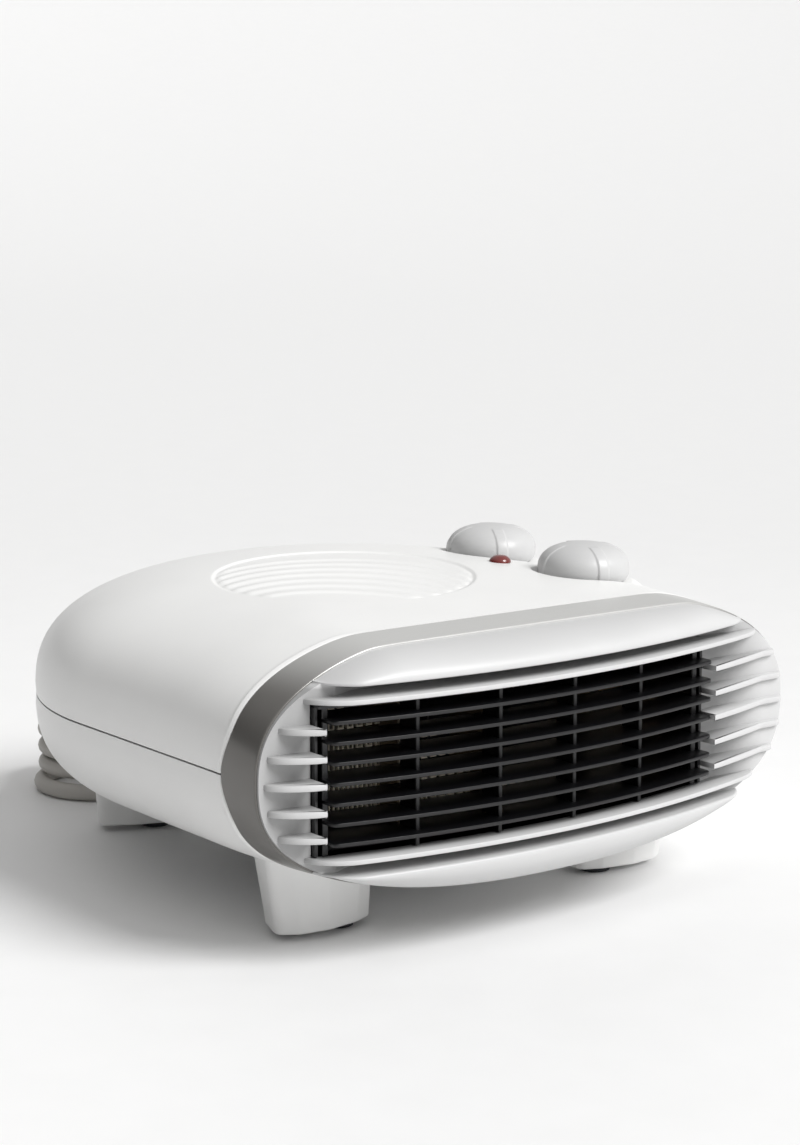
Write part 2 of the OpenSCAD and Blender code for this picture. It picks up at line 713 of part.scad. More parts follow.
module control_body() difference() {
    union() {
        translate([-control_w / 2, -control_d / 2, control_top - control_h]) cube([control_w, control_d, control_h]);
        translate([0, 0, control_top - 1]) cylinder(r = bushing_r, h = wall + fit + 1);
    }
    translate([0, 0, control_top - 9]) cylinder(r = spindle_r + run_fit, h = 20);
}

module spindle() translate([0, 0, control_top - 8.7]) cylinder(r = spindle_r, h = knob_base + 10 - control_top + 8.7);

// Dome of a knob, grown by a margin
module knob_dome(grow) rotate_extrude() polygon(concat([[0, 0]],
    [for (i = [0:10]) let (t = 9 * i) [(knob_r - 0.9 + grow) * pow(cos(t), 0.8), (knob_h - 0.7 + grow * 0.7) * pow(sin(t), 0.8)]]));

module knob() difference() {
    union() {
        knob_dome(0);
        intersection() {
            knob_dome(0.9);
            difference() {
                for (a = [45, 135]) rotate([0, 0, a]) translate([-knob_r, -knob_rib / 2, 0])
                    cube([2 * knob_r, knob_rib, knob_h]);
                translate([0, 0, -1]) cylinder(r = knob_r * 0.42, h = knob_h + 2);
            }
        }
    }
    translate([0, 0, -1]) cylinder(r = spindle_r, h = 11);
    difference() {
        translate([0, 0, -1]) cylinder(r = knob_r - 5, h = 5);
        translate([0, 0, -2]) cylinder(r = spindle_r + 2.5, h = 8);
    }
}

module thermostat_body() color([0.82, 0.8, 0.72]) translate([knob_x, thermostat_y, 0]) control_body();

module thermostat_spindle() color([0.75, 0.75, 0.77]) translate([knob_x, thermostat_y, 0]) spindle();

module thermostat_knob() color([0.86, 0.86, 0.85]) translate([knob_x, thermostat_y, knob_base])
    rotate([0, 0, 22]) knob();

module selector_body() color([0.15, 0.15, 0.16]) translate([knob_x, selector_y, 0]) control_body();

module selector_spindle() color([0.75, 0.75, 0.77]) translate([knob_x, selector_y, 0]) spindle();

module selector_knob() color([0.86, 0.86, 0.85]) translate([knob_x, selector_y, knob_base])
    rotate([0, 0, 31]) knob();

module lamp_lens() color([0.55, 0.2, 0.18]) translate([lamp_x, lamp_y, lamp_z]) {
    rotate_extrude() polygon([[0, 0], [lamp_r, 0], [lamp_r, 0.6], [lamp_r * 0.86, 1.6], [lamp_r * 0.6, 2.5],
        [lamp_r * 0.3, 2.9], [0, 3]]);
    translate([0, 0, -7]) cylinder(r = lamp_r - 1.2, h = 7);
}

module lamp_body() color([0.85, 0.85, 0.8]) translate([lamp_x, lamp_y, lamp_z - 7 - 12]) {
    cylinder(r = lamp_r - 1.4, h = 12);
    translate([0, 0, 10.5]) difference() {
        cylinder(r = lamp_r + 1, h = 5);
        translate([0, 0, 1.5]) cylinder(r = lamp_r - 1.2, h = 5);
    }
}

module cover_screws() color([0.7, 0.7, 0.72]) at_posts() translate([0, 0, seam_z - 14]) {
    translate([0, 0, -2.4]) cylinder(r = screw_head_r, h = 2.4);
    cylinder(r = screw_r, h = 26);
}

/* Cord entry at the rear right, level, along a 3-4-5 direction */
cord_r = cord_d / 2;
gland_dir = [0.8, 0.6];
gland_z = seam_z - 20;
clamp_at = half_w - 39;
relief_from = half_w - 15;
relief_to = half_w + 35;

module at_gland(at) translate([gland_dir.x * at, axis_y + gland_dir.y * at, gland_z])
    rotate([0, 0, atan2(gland_dir.y, gland_dir.x)]) rotate([0, 90, 0]) children();

module gland_hole() at_gland(half_w - 25) cylinder(r = cord_r + 2.6, h = 40);

module strain_relief() color([0.55, 0.54, 0.52]) at_gland(relief_from) rotate_extrude() polygon([
    [0, 0], [cord_r + 3.8, 0], [cord_r + 3.8, 1.8], [cord_r + 2.3, 1.8],
    [cord_r + 2.3, 15], [cord_r + 1.2, relief_to - relief_from], [0, relief_to - relief_from]]);

module inner_cord() color([0.56, 0.54, 0.51]) at_gland(clamp_at - 8) cylinder(r = cord_r, h = relief_from - clamp_at + 8);

module cord_clamp() color([0.2, 0.2, 0.21]) at_gland(clamp_at) {
    difference() {
        translate([-8, -13, 0]) cube([16, 26, 10]);
        translate([0, 0, -1]) cylinder(r = cord_r + 0.2, h = 12);
        for (s = [-1, 1]) translate([-9, s * 9.5, 5]) rotate([0, 90, 0]) cylinder(r = screw_r + 0.15, h = 18);
    }
    translate([8, -4, 3]) cube([gland_z - 8 - clamp_foot, 8, 4]);
}

clamp_foot = seam_z - oval_rise(half_w - 32, wall);

module clamp_screws() color([0.7, 0.7, 0.72]) at_gland(clamp_at) for (s = [-1, 1]) translate([0, s * 9.5, 5])
    rotate([0, 90, 0]) {
        translate([0, 0, -8]) cylinder(r = screw_r, h = 15.5);
        translate([0, 0, -10]) cylinder(r = 3, h = 2);
    }

/* Cord: points chosen by hand, and the hank's loops by formula */
hank_right = half_w - 43;
hank_run = 110;
hank_y = rear_y + 30;
fold_r = 22;
hank_step = 8;
layer_h = 7.8;
hank_loops = 3;
waist_y = 4.6;
tie_t = 1;
cord_sides = 8;

// Shares of the way from the strain relief to the hank, and from the hank to the plug
mains_shares = [[0, 0, 0], [-0.174, 0.08, 0], [-0.457, 0.253, 0.109], [-0.63, 0.493, 0.348],
    [-0.565, 0.733, 0.609], [-0.283, 0.92, 0.826], [0.109, 0.987, 0.957], [0.543, 1, 1], [1, 1, 1]];
tail_shares = [[0, 0, 0], [0.295, 0, 0], [0.59, 0.037, 0], [0.836, 0.159, 0.027], [0.967, 0.354, 0.16],
    [1, 0.561, 0.493], [1, 0.768, 0.893], [1, 0.89, 1], [1, 1, 1]];
plug_x = hank_right + 61;
plug_y = hank_y + 46;
plug_z = plug_r + 0.1;
function route(shares, from, to) = [for (q = shares) [for (i = [0:2]) from[i] + q[i] * (to[i] - from[i])]];
mains_points = route(mains_shares, [gland_dir.x * relief_to, axis_y + gland_dir.y * relief_to, gland_z],
    [hank_right, hank_y + fold_r, cord_r + hank_loops * layer_h]);
tail_points = route(tail_shares, [hank_right, hank_y - fold_r - hank_step, cord_r], [plug_x, plug_y, plug_z]);

function unit(v) = v / norm(v);

// Point on a smooth curve through the route's points
function curve(p, i, t) = let (n = len(p) - 1, a = p[max(i - 1, 0)], b = p[i], c = p[i + 1], d = p[min(i + 2, n)])
    0.5 * ((2 * b) + (c - a) * t + (2 * a - 5 * b + 4 * c - d) * t * t + (3 * b - a - 3 * c + d) * t * t * t);

function smooth(p, steps) = concat([for (i = [0:len(p) - 2], k = [0:steps - 1]) curve(p, i, k / steps)], [p[len(p) - 1]]);

// Round tube along a list of points, closed by flat ends
module tube(path, r, sides) {
    n = len(path);
    function tangent(i) = unit(path[min(i + 1, n - 1)] - path[max(i - 1, 0)]);
    function ring(i) = let (t = tangent(i), s = unit(cross(t, [0, 0, 1])), u = cross(s, t))
        [for (k = [0:sides - 1]) path[i] + r * (cos(360 * (k + 0.5) / sides) * s + sin(360 * (k + 0.5) / sides) * u)];
    polyhedron(
        points = [for (i = [0:n - 1]) each ring(i)],
        faces = concat(
            [for (i = [0:n - 2], k = [0:sides - 1]) let (m = (k + 1) % sides)
                each [[i * sides + k, i * sides + m, (i + 1) * sides + m],
                      [i * sides + k, (i + 1) * sides + m, (i + 1) * sides + k]]],
            [for (k = [1:sides - 2]) [0, k + 1, k]],
            [for (k = [1:sides - 2]) [(n - 1) * sides, (n - 1) * sides + k, (n - 1) * sides + k + 1]]),
        convexity = 8);
}

// How far a run is drawn in, from 0 at the folds to 1 at the waist
function drawn(s) = pow(sin(180 * s), 2);

// Runs and folds of one loop, from the far right round the left fold
function far_run(j, k = 8) = [for (i = [0:k - 1]) let (s = i / k, w = drawn(s))
    [hank_right - hank_run * s, hank_y + fold_r + (waist_y - fold_r) * w, cord_r + (hank_loops - j) * layer_h + tie_t * w]];

function left_fold(j, k = 6) = let (wide = j == hank_loops ? hank_step / 2 : 0, r = fold_r + wide)
    [for (i = [0:k - 1]) let (a = 90 + 180 * i / k)
        [hank_right - hank_run + r * cos(a), hank_y - wide + r * sin(a), cord_r + (hank_loops - j) * layer_h]];

function near_run(j, k = 8) = let (last = j == hank_loops, out = last ? hank_step : 0)
    [for (i = [0:k - 1]) let (s = i / k, w = drawn(s), fall = last ? 0 : s * s * (3 - 2 * s))
        [hank_right - hank_run * (1 - s), hank_y - out - fold_r - (waist_y - fold_r) * w,
         cord_r + (hank_loops - j - fall) * layer_h + tie_t * w]];

function right_fold(j, k = 6) = [for (i = [0:k - 1]) let (a = 270 + 180 * i / k)
    [hank_right + fold_r * cos(a), hank_y + fold_r * sin(a), cord_r + (hank_loops - j - 1) * layer_h]];

hank_path = concat(
    [for (j = [0:hank_loops]) each concat(far_run(j), left_fold(j), near_run(j), j < hank_loops ? right_fold(j) : [])],
    [[hank_right, hank_y - fold_r - hank_step, cord_r]]);

// Least gap between turns of the hank, measured between points over half a loop apart
function hank_gap(p, apart) = min([for (i = [0:len(p) - 1 - apart], k = [i + apart:len(p) - 1])
    norm(p[i] - p[k])]) - cord_d;
echo(hank_gap = hank_gap(smooth(hank_path, 2), 24));

module mains_cord() color([0.56, 0.54, 0.51]) tube(smooth(mains_points, 3), cord_r, cord_sides);

module cord_hank() color([0.56, 0.54, 0.51]) tube(hank_path, cord_r, 6);

module cord_tail() color([0.56, 0.54, 0.51]) tube(smooth(tail_points, 3), cord_r, cord_sides);

module cord_tie() color([0.15, 0.15, 0.15]) {
    w = 4;
    near = waist_y + hank_step + cord_r + fit;
    far = waist_y + cord_r + fit;
    top = 2 * cord_r + hank_loops * layer_h + tie_t + fit;
    translate([hank_right - hank_run / 2 - w / 2, hank_y - near - tie_t, 0]) difference() {
        cube([w, near + far + 2 * tie_t, top + tie_t]);
        translate([-1, tie_t, tie_t - fit]) cube([w + 2, near + far, top - tie_t + fit]);
    }
}

/* Plug lying on the floor behind the heater */
pin_root = pin_d - 0.8;

module at_plug(y) translate([plug_x, plug_y + y, plug_z]) rotate([-90, 0, 0]) children();

module plug_body() color([0.56, 0.54, 0.51]) difference() {
    at_plug(0) rotate_extrude() polygon([[0, 0], [cord_r + 1.4, 0], [cord_r + 2.6, 16], [11, 20], [14, 25],
        [15.5, 32], [plug_r, 36], [plug_r, 44], [0, 44]]);
    for (s = [-1, 1]) at_plug(36) translate([s * pin_gap / 2, 0, 0]) cylinder(d = pin_root, h = 20);
    for (s = [-1, 1]) at_plug(30) translate([-3.5, s * (plug_r - 0.6) - 1.4, 0]) cube([7, 2.8, 20]);
}

module plug_pins() color([0.8, 0.78, 0.7]) for (s = [-1, 1])
    at_plug(36) translate([s * pin_gap / 2, 0, 0]) {
        cylinder(d = pin_root, h = 9);
        translate([0, 0, 8]) cylinder(d = pin_d, h = pin_l);
    }

module earth_clips() color([0.78, 0.76, 0.66]) for (s = [-1, 1])
    at_plug(34) translate([-3, s * (plug_r - 1.3) - 0.5, 0]) cube([6, 1, 10]);

upper_cover();
lower_cover();
leg_front_left();
leg_front_right();
leg_rear_left();
leg_rear_right();
rubber_pads();
trim_band();
front_bezel();
outlet_grille();
heater_frame();
mica_boards();
heating_ribbons();
heater_terminals();
thermal_cutout();
fan_scroll();
fan_wheel();
motor_shaft();
motor_rotor();
motor_stator();
motor_coil();
motor_bearings();
motor_screws();
thermostat_body();
thermostat_spindle();
thermostat_knob();
selector_body();
selector_spindle();
selector_knob();
lamp_lens();
lamp_body();
cover_screws();
cord_clamp();
clamp_screws();
inner_cord();
strain_relief();
mains_cord();
cord_hank();
cord_tie();
cord_tail();
plug_body();
plug_pins();
earth_clips();
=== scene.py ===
"""Fan heater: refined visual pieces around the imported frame. Forms are in millimetres until mesh_of()."""
import bmesh
import bpy
import json
import math
import numpy as np
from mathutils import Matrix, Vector
from mathutils.geometry import delaunay_2d_cdt


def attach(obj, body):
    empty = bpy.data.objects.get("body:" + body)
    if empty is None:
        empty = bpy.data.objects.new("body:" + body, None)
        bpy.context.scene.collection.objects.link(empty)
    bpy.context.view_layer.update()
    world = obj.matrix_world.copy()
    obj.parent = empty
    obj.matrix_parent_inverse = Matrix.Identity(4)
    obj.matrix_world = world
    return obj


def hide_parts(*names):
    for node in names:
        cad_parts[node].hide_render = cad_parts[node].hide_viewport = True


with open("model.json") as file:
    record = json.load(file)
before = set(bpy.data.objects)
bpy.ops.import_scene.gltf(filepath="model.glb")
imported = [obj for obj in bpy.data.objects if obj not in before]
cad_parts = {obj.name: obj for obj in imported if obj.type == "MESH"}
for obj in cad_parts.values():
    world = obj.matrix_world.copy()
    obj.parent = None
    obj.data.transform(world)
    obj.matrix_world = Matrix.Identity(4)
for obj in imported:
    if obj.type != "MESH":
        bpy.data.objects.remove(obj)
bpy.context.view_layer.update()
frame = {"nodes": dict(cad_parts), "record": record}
scene = bpy.context.scene
scene.view_settings.view_transform = "Standard"
MM = 0.001

# Sizes of the part, in millimetres
HALF_W, HALF_H, SEAM_Z, OVAL_N = 125.0, 50.0, 70.0, 2.8
AXIS_Y, FRONT_Y = 11.0, -136.0
BAND_FRONT, BAND_BACK = -111.5, -93.5
ROOF_TOP, ROOF_DROP, ROOF_BEND, ROOF_SOFT = 120.3, 6.7, 0.25, 0.06
OUT_X, OUT_Z, OUT_LOW, OUT_TOP, JAMB = -13.3, 69.5, 42.3, 97.3, 91.0
OUT_LEFT, OUT_RIGHT = OUT_X - JAMB, OUT_X + JAMB
FRONT_R = 381.5
ARC_Y = FRONT_Y + FRONT_R
FAN_Y = -7.0
KNOB_X, THERMO_Y, SELECT_Y, KNOB_R, KNOB_H = 77.0, 13.5, -46.5, 18.0, 16.0
CORD_R = 3.6


def new_object(name, data):
    """Object for some data, linked to the scene."""
    o = bpy.data.objects.new(name, data)
    scene.collection.objects.link(o)
    return o


# Camera
CAMERA_AT = (-0.6211, -0.8666, 0.2990)
CAMERA_DOWN, CAMERA_RIGHT = 9.697, 36.469
CAMERA_LENS, CAMERA_SENSOR = 84.9, 36


def make_camera():
    """Camera with the photo's place, direction and lens."""
    cam = new_object("camera", bpy.data.cameras.new("camera"))
    cam.data.sensor_width = CAMERA_SENSOR
    cam.data.lens = CAMERA_LENS
    cam.data.clip_start, cam.data.clip_end = 0.05, 30
    cam.location = CAMERA_AT
    cam.rotation_euler = (math.radians(90 - CAMERA_DOWN), 0, math.radians(-CAMERA_RIGHT))
    scene.camera = cam


# Mesh helpers
WELD = 1e-7  # metres
THIN = 1e-4  # radius that stands for a point on an axis


class Build:
    """Collects vertices and faces of one piece."""

    def __init__(self):
        self.v, self.f = [], []

    def add(self, verts, faces):
        base = len(self.v)
        self.v.extend(tuple(map(float, p)) for p in verts)
        self.f.extend(tuple(base + i for i in face) for face in faces)
        return self

    def loft(self, rings, caps=True):
        """Skin over closed rings that have equally many points."""
        n, m = len(rings), len(rings[0])
        faces = [
            (i * m + k, i * m + (k + 1) % m, (i + 1) * m + (k + 1) % m, (i + 1) * m + k)
            for i in range(n - 1)
            for k in range(m)
        ]
        if caps:
            faces += [tuple(range(m - 1, -1, -1)), tuple((n - 1) * m + k for k in range(m))]
        return self.add(np.concatenate([np.asarray(r, float) for r in rings]), faces)

    def hoop(self, rings):
        """Loft that closes on its first ring."""
        return self.loft(rings + rings[:1], caps=False)

    def prism(self, outline, low, high):
        """Upright piece over a plan outline, between two heights."""
        return self.loft([[(x, y, z) for x, y in outline] for z in (low, high)])

    def lathe(self, profile, at, n=72, caps=True):
        """Profile of (radius, height), from the bottom of the axis to its top, turned about Z."""
        rings = []
        for r, z in profile:
            a = np.linspace(0, 2 * np.pi, n, endpoint=False)
            r = max(r, THIN)
            rings.append(np.c_[at[0] + r * np.cos(a), at[1] + r * np.sin(a), np.full(n, at[2] + z)])
        return self.loft(rings, caps)

    def turned(self, profile, origin, direction, n=40):
        """Profile of (radius, distance), turned about a direction from a point."""
        d = Vector(direction).normalized()
        s = d.cross(Vector((0, 0, 1))).normalized()
        u = s.cross(d)
        turns = [2 * math.pi * k / n for k in range(n)]
        rings = []
        for r, along in profile:
            r = max(r, THIN)
            c = Vector(origin) + d * along
            rings.append([tuple(c + s * (r * math.cos(a)) + u * (r * math.sin(a))) for a in turns])
        return self.loft(rings)

    def box(self, lo, hi, edge=0.3):
        """Box with small chamfers along its vertical edges and round its ends."""
        (x0, y0, z0), (x1, y1, z1), e = lo, hi, edge

        def ring(z, i):
            a, b, c, d = x0 + i, x1 - i, y0 + i, y1 - i
            corners = [(a + e, c), (b - e, c), (b, c + e), (b, d - e), (b - e, d), (a + e, d), (a, d - e), (a, c + e)]
            return [(x, y, z) for x, y in corners]

        return self.loft([ring(z0, e), ring(z0 + e, 0), ring(z1 - e, 0), ring(z1, e)])


def mesh_of(name, build):
    """Mesh in metres, welded and with its faces turned outwards."""
    me = bpy.data.meshes.new(name)
    me.from_pydata([tuple(c * MM for c in p) for p in build.v], [], build.f)
    bm = bmesh.new()
    bm.from_mesh(me)
    bmesh.ops.remove_doubles(bm, verts=bm.verts, dist=WELD)
    bmesh.ops.dissolve_degenerate(bm, edges=bm.edges, dist=WELD)
    bmesh.ops.recalc_face_normals(bm, faces=bm.faces)
    bm.to_mesh(me)
    bm.free()
    return me


def smooth(me, sharp):
    """Smooth shading, with edges sharper than an angle in degrees left sharp."""
    me.shade_smooth()
    me.set_sharp_from_angle(angle=math.radians(sharp))


def put(name, me, slot, nodes, body="housing", sharp=38):
    """Makes a piece from a mesh or a Build, with its finish, body and the nodes it stands for."""
    if isinstance(me, Build):
        me = mesh_of(name, me)
    smooth(me, sharp)
    o = new_object(name, me)
    me.materials.clear()
    me.materials.append(MAT[slot])
    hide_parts(*nodes)
    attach(o, body)


def applied(me, *steps):
    """The mesh after modifiers: each step is (type, settings)."""
    o = new_object("work", me)
    for kind, settings in steps:
        m = o.modifiers.new(kind, kind)
        for k, v in settings.items():
            setattr(m, k, v)
    dg = bpy.context.evaluated_depsgraph_get()
    out = bpy.data.meshes.new_from_object(o.evaluated_get(dg))
    bpy.data.objects.remove(o)
    return out


def boolean(me, op, *others):
    """Boolean of a mesh with one or more Builds."""
    made = [new_object("cutter", mesh_of("cutter", b)) for b in others]
    out = applied(me, *[("BOOLEAN", dict(operation=op, solver="EXACT", object=o)) for o in made])
    for o in made:
        bpy.data.objects.remove(o)
    return out


# Plan outlines
def anticlockwise(ring):
    """The same closed outline, run anticlockwise."""
    area = sum(a[0] * b[1] - b[0] * a[1] for a, b in zip(ring, ring[1:] + ring[:1]))
    return ring if area > 0 else ring[::-1]


def offset_ring(outline, d):
    """Moves a closed anticlockwise outline inwards by a distance."""
    p = np.asarray(outline, float)
    t = np.roll(p, -1, 0) - np.roll(p, 1, 0)
    n = np.c_[-t[:, 1], t[:, 0]] / np.maximum(np.linalg.norm(t, axis=1), 1e-9)[:, None]
    return p + n * d


def rounded(points, radii, k=6):
    """Rounds the corners of a closed polygon, with one radius for each corner."""
    n = len(points)
    out = []
    for i, (p, r) in enumerate(zip(points, radii)):
        p, a, b = Vector(p), Vector(points[i - 1]), Vector(points[(i + 1) % n])
        if r <= 0:
            out.append(tuple(p))
            continue
        u, w = (a - p).normalized(), (b - p).normalized()
        half = u.angle(w) / 2
        cut = min(r / math.tan(half), 0.49 * (a - p).length, 0.49 * (b - p).length)
        for j in range(k + 1):
            s = j / k
            out.append(tuple((p + u * cut) * (1 - s) ** 2 + p * 2 * s * (1 - s) + (p + w * cut) * s * s))
    return out


def around(cx, cy, d, n):
    """Points around a centre at one distance."""
    return [(cx + d * math.cos(a), cy + d * math.sin(a)) for a in np.linspace(0, 2 * np.pi, n, endpoint=False)]


# Forms of the shell
def step(x):
    """Soft step from 0 to 1."""
    x = np.clip(x, 0, 1)
    return x * x * (3 - 2 * x)


def smin(a, b, k=1.2):
    """Lesser of two values, with a soft change from one to the other."""
    return 0.5 * (a + b - np.sqrt((a - b) ** 2 + k * k))


def roof(y):
    """Height of the roof, which falls softly towards the front."""
    s = (np.asarray(y, float) - BAND_FRONT) / (AXIS_Y - BAND_FRONT)
    h = np.where(s < 1, (1 - s) * (1 - ROOF_BEND * s), (1 - ROOF_BEND) * (1 - s))
    return ROOF_TOP - ROOF_DROP * 0.5 * (h + np.sqrt(h * h + ROOF_SOFT**2))


ROUND_FROM, ROUNDER = -60, 0.35


def oval_n(y):
    """Exponent of the section at one Y: the corners get rounder towards the front."""
    return OVAL_N - ROUNDER * min(max((ROUND_FROM - float(y)) / (ROUND_FROM - BAND_FRONT), 0), 1) ** 1.5


BOW, BOW_H = 4.1, 18


def bow(h):
    """How far the band's rear edge bows backwards at a height above the seam."""
    return BOW * step(1 - np.abs(h) / BOW_H)


def rise(r, inset=0.0, n=OVAL_N):
    """Height of the shell's section above the seam, at a distance from the middle."""
    q = np.clip(np.abs(r) / (HALF_W - inset), 0, 1)
    return (HALF_H - inset) * (1 - q**n) ** (1 / n)


def plan_r(x, y):
    """Distance of a plan point from the middle line, or from the rear's axis behind it."""
    return abs(x) if y <= AXIS_Y else math.hypot(x, y - AXIS_Y)


def oval_ring(y, inset=0.0, m=60):
    """Full section of the shell at one Y, with the roof's cut."""
    t = np.linspace(0, 2 * np.pi, 4 * m, endpoint=False)
    c, s = np.cos(t), np.sin(t)
    e = 2 / oval_n(y)
    x = (HALF_W - inset) * np.sign(c) * np.abs(c) ** e
    z = (HALF_H - inset) * np.sign(s) * np.abs(s) ** e
    up = smin(SEAM_Z + z, roof(y) - inset)
    blend = np.clip(z / 3, 0, 1)
    z = np.where(s > 0, SEAM_Z + (up - SEAM_Z) * blend + z * (1 - blend), SEAM_Z + z)
    return np.c_[x, np.full_like(x, y), z]


PANEL = dict(x=OUT_X, y=FAN_Y, deep=0.7, r=52.5, ribs=7, rib_h=0.55, arc=60.0, step=11.0, first=43.5)
RIB_TURN = math.radians(37)  # the ribs' middles lie on a line turned from the body's own
RIB_COS, RIB_SIN = math.cos(RIB_TURN), math.sin(RIB_TURN)
RIB_SHARE, RIB_SOFT = 0.72, 0.5  # of half the ribs' step
RIB_END, RIB_END_SOFT = 1.2, 2.5
DISH_OUT, DISH_SOFT = 0.3, 2.2
POCKETS = [(KNOB_X, THERMO_Y), (KNOB_X, SELECT_Y)]
POCKET_Z = SEAM_Z + float(rise(KNOB_X)) - 2.6
POCKET_R = KNOB_R + 1.6
POCKET_WALL, POCKET_SPREAD = 2.0, 4.5


def rib_wave(x, y):
    """Height of the panel's curved ribs, from 0 to 1."""
    p = PANEL
    x, y = x - p["x"], y - p["y"]
    across, along = x * RIB_COS - y * RIB_SIN, x * RIB_SIN + y * RIB_COS
    d = along + p["first"] + p["arc"] - np.sqrt(np.maximum(p["arc"] ** 2 - across**2, 1))
    phase = np.abs((d / p["step"] + 0.5) % 1.0 - 0.5) * 2
    inside = (d > p["step"] * 0.5) & (d < p["step"] * (p["ribs"] + 0.5))
    return np.where(inside, step((RIB_SHARE - phase) / RIB_SOFT), 0)


def features(x, y, z):
    """Lowers the roof into the round panel and the knobs' pockets."""
    p = PANEL
    d = np.hypot(x - p["x"], y - p["y"])
    dish = z - p["deep"] + p["rib_h"] * rib_wave(x, y) * step((p["r"] - RIB_END - d) / RIB_END_SOFT)
    z = z + (np.minimum(dish, z) - z) * step((p["r"] + DISH_OUT - d) / DISH_SOFT)
    for cx, cy in POCKETS:
        d = np.hypot(x - cx, y - cy)
        width = POCKET_WALL + POCKET_SPREAD * step((POCKET_Z - z) / 3)
        z = POCKET_Z + (z - POCKET_Z) * step((d - POCKET_R) / width)
    return z


POCKET_RINGS = (5, 10, 15, 18, 19.2, 19.6, 19.8, 20.0, 20.2, 20.5, 20.8, 21.1, 21.4, 21.7, 22.2, 23, 24, 25.2, 26.4)
PANEL_RINGS = (50.0, 50.6, 51.0, 51.4, 51.8, 52.2, 52.6, 53.0, 53.6, 54.4)
RIB_LINES = (-0.38, -0.28, -0.2, -0.12, 0, 0.12, 0.2, 0.28, 0.38, 0.5)  # shares of the ribs' step
RIB_POINTS_R = 49.3


def feature_points():
    """Plan points that carry the panel, its ribs and the pockets."""
    p = PANEL
    pts = []
    for cx, cy in POCKETS:
        pts.append((cx, cy))
        for d in POCKET_RINGS:
            pts += around(cx, cy, d, 84)
    for d in PANEL_RINGS:
        pts += around(p["x"], p["y"], d, 190)
    for i in range(p["ribs"] + 2):
        for off in RIB_LINES:
            for a in np.radians(np.arange(-59, 60, 2.1)):
                across = p["arc"] * math.sin(a)
                along = (i + off) * p["step"] - p["first"] - p["arc"] * (1 - math.cos(a))
                x = p["x"] + across * RIB_COS + along * RIB_SIN
                y = p["y"] - across * RIB_SIN + along * RIB_COS
                if math.hypot(x - p["x"], y - p["y"]) < RIB_POINTS_R:
                    pts.append((x, y))
    return pts


def clear_of_features(x, y):
    """True where the cover's regular points stay, outside the panel and the pockets."""
    if math.hypot(x - PANEL["x"], y - PANEL["y"]) < PANEL["r"] + 2.6:
        return False
    return all(math.hypot(x - cx, y - cy) > POCKET_R + 7.6 for cx, cy in POCKETS)


EDGE_ROWS = (0.1, 0.35, 0.8, 1.3, 1.8, 2.3, 2.8, 3.4, 4.4, 6)  # distances behind the band
EDGE_BEVEL, EDGE_EASE = 0.35, 0.1
BEAD_H, BEAD_AT, BEAD_WIDE = 0.28, 2.1, 0.7
BOW_FADE = 45
SKIN = 2.2


def cover(upper):
    """One cover as an open skin over a triangulated plan, then given its thickness."""
    def section(angles):
        """Half widths and heights of the shell's quarter section."""
        return HALF_W * np.cos(angles) ** (2 / OVAL_N), HALF_H * np.sin(angles) ** (2 / OVAL_N)

    fine_r, fine_z = section(np.radians(np.linspace(0, 90, 1500)))
    run = np.concatenate([[0], np.cumsum(np.hypot(np.diff(fine_r), np.diff(fine_z)))])
    quarter = list(zip(*section(np.radians(np.linspace(0, 90, 49)))))
    flat_pts, solid = [], []

    def add(x, y, z, r):
        """Adds a point, and its place when the shell is rolled out from the top."""
        q = float(run[-1] - np.interp(-abs(r), -fine_r, run))
        if y <= AXIS_Y or r < 1e-6:
            flat_pts.append((math.copysign(q, x) if r > 1e-6 else 0.0, y))
        else:
            flat_pts.append((x / r * q, AXIS_Y + (y - AXIS_Y) / r * q))
        solid.append((x, y, z))

    # Straight part, with a bead and a bevelled edge behind the band
    rows = [BAND_BACK + g for g in EDGE_ROWS] + list(np.linspace(BAND_BACK + 9, AXIS_Y, 24))
    for j, y in enumerate(rows):
        out = BEAD_H * math.exp(-(((y - BAND_BACK - BEAD_AT) / BEAD_WIDE) ** 2))
        out -= {0: EDGE_BEVEL, 1: EDGE_EASE}.get(j, 0)
        for side in (-1, 1):
            for i, (r, _) in enumerate(quarter):
                if r < 1e-6 and side < 0:
                    continue
                k = (HALF_W + out) / HALF_W
                x, h = side * r * k, float(rise(r, 0, oval_n(y))) * (HALF_H + out) / HALF_H
                if i == 0:
                    x, h = side * (r * k - EDGE_BEVEL), EDGE_BEVEL
                if not upper or clear_of_features(x, y):
                    add(x, y + float(bow(h)) * max(0, 1 - (y - BAND_BACK) / BOW_FADE), h, r)
    # Round rear part
    for i, (r, z) in enumerate(quarter):
        if r < 1e-6:
            continue
        n = max(6, int(round(64 * (r / HALF_W) ** 0.8)))
        for k in range(1, n):
            a = math.pi * k / n
            rr, h = (r - EDGE_BEVEL, EDGE_BEVEL) if i == 0 else (r, z)
            x, y = rr * math.cos(a), AXIS_Y + rr * math.sin(a)
            if not upper or clear_of_features(x, y):
                add(x, y, h, r)
    if upper:
        for x, y in feature_points():
            r = plan_r(x, y)
            add(x, y, float(rise(r)), r)
    x, y, h = np.array(solid).T
    if upper:
        z = SEAM_Z + h
        z = z + (smin(z, roof(y)) - z) * step(h / 6)
        xyz = np.c_[x, y, features(x, y, z)]
    else:
        xyz = np.c_[x, y, SEAM_Z - h]
    _, _, faces, origin, _, _ = delaunay_2d_cdt([Vector(q) for q in flat_pts], [], [], 0, 1e-5)
    me = mesh_of("cover", Build().add([xyz[o[0]] for o in origin], [tuple(f) for f in faces]))
    if (sum(p.normal.z * p.area for p in me.polygons) > 0) != upper:
        me.flip_normals()
    return applied(me, ("SOLIDIFY", dict(thickness=SKIN * MM, offset=-1.0)))


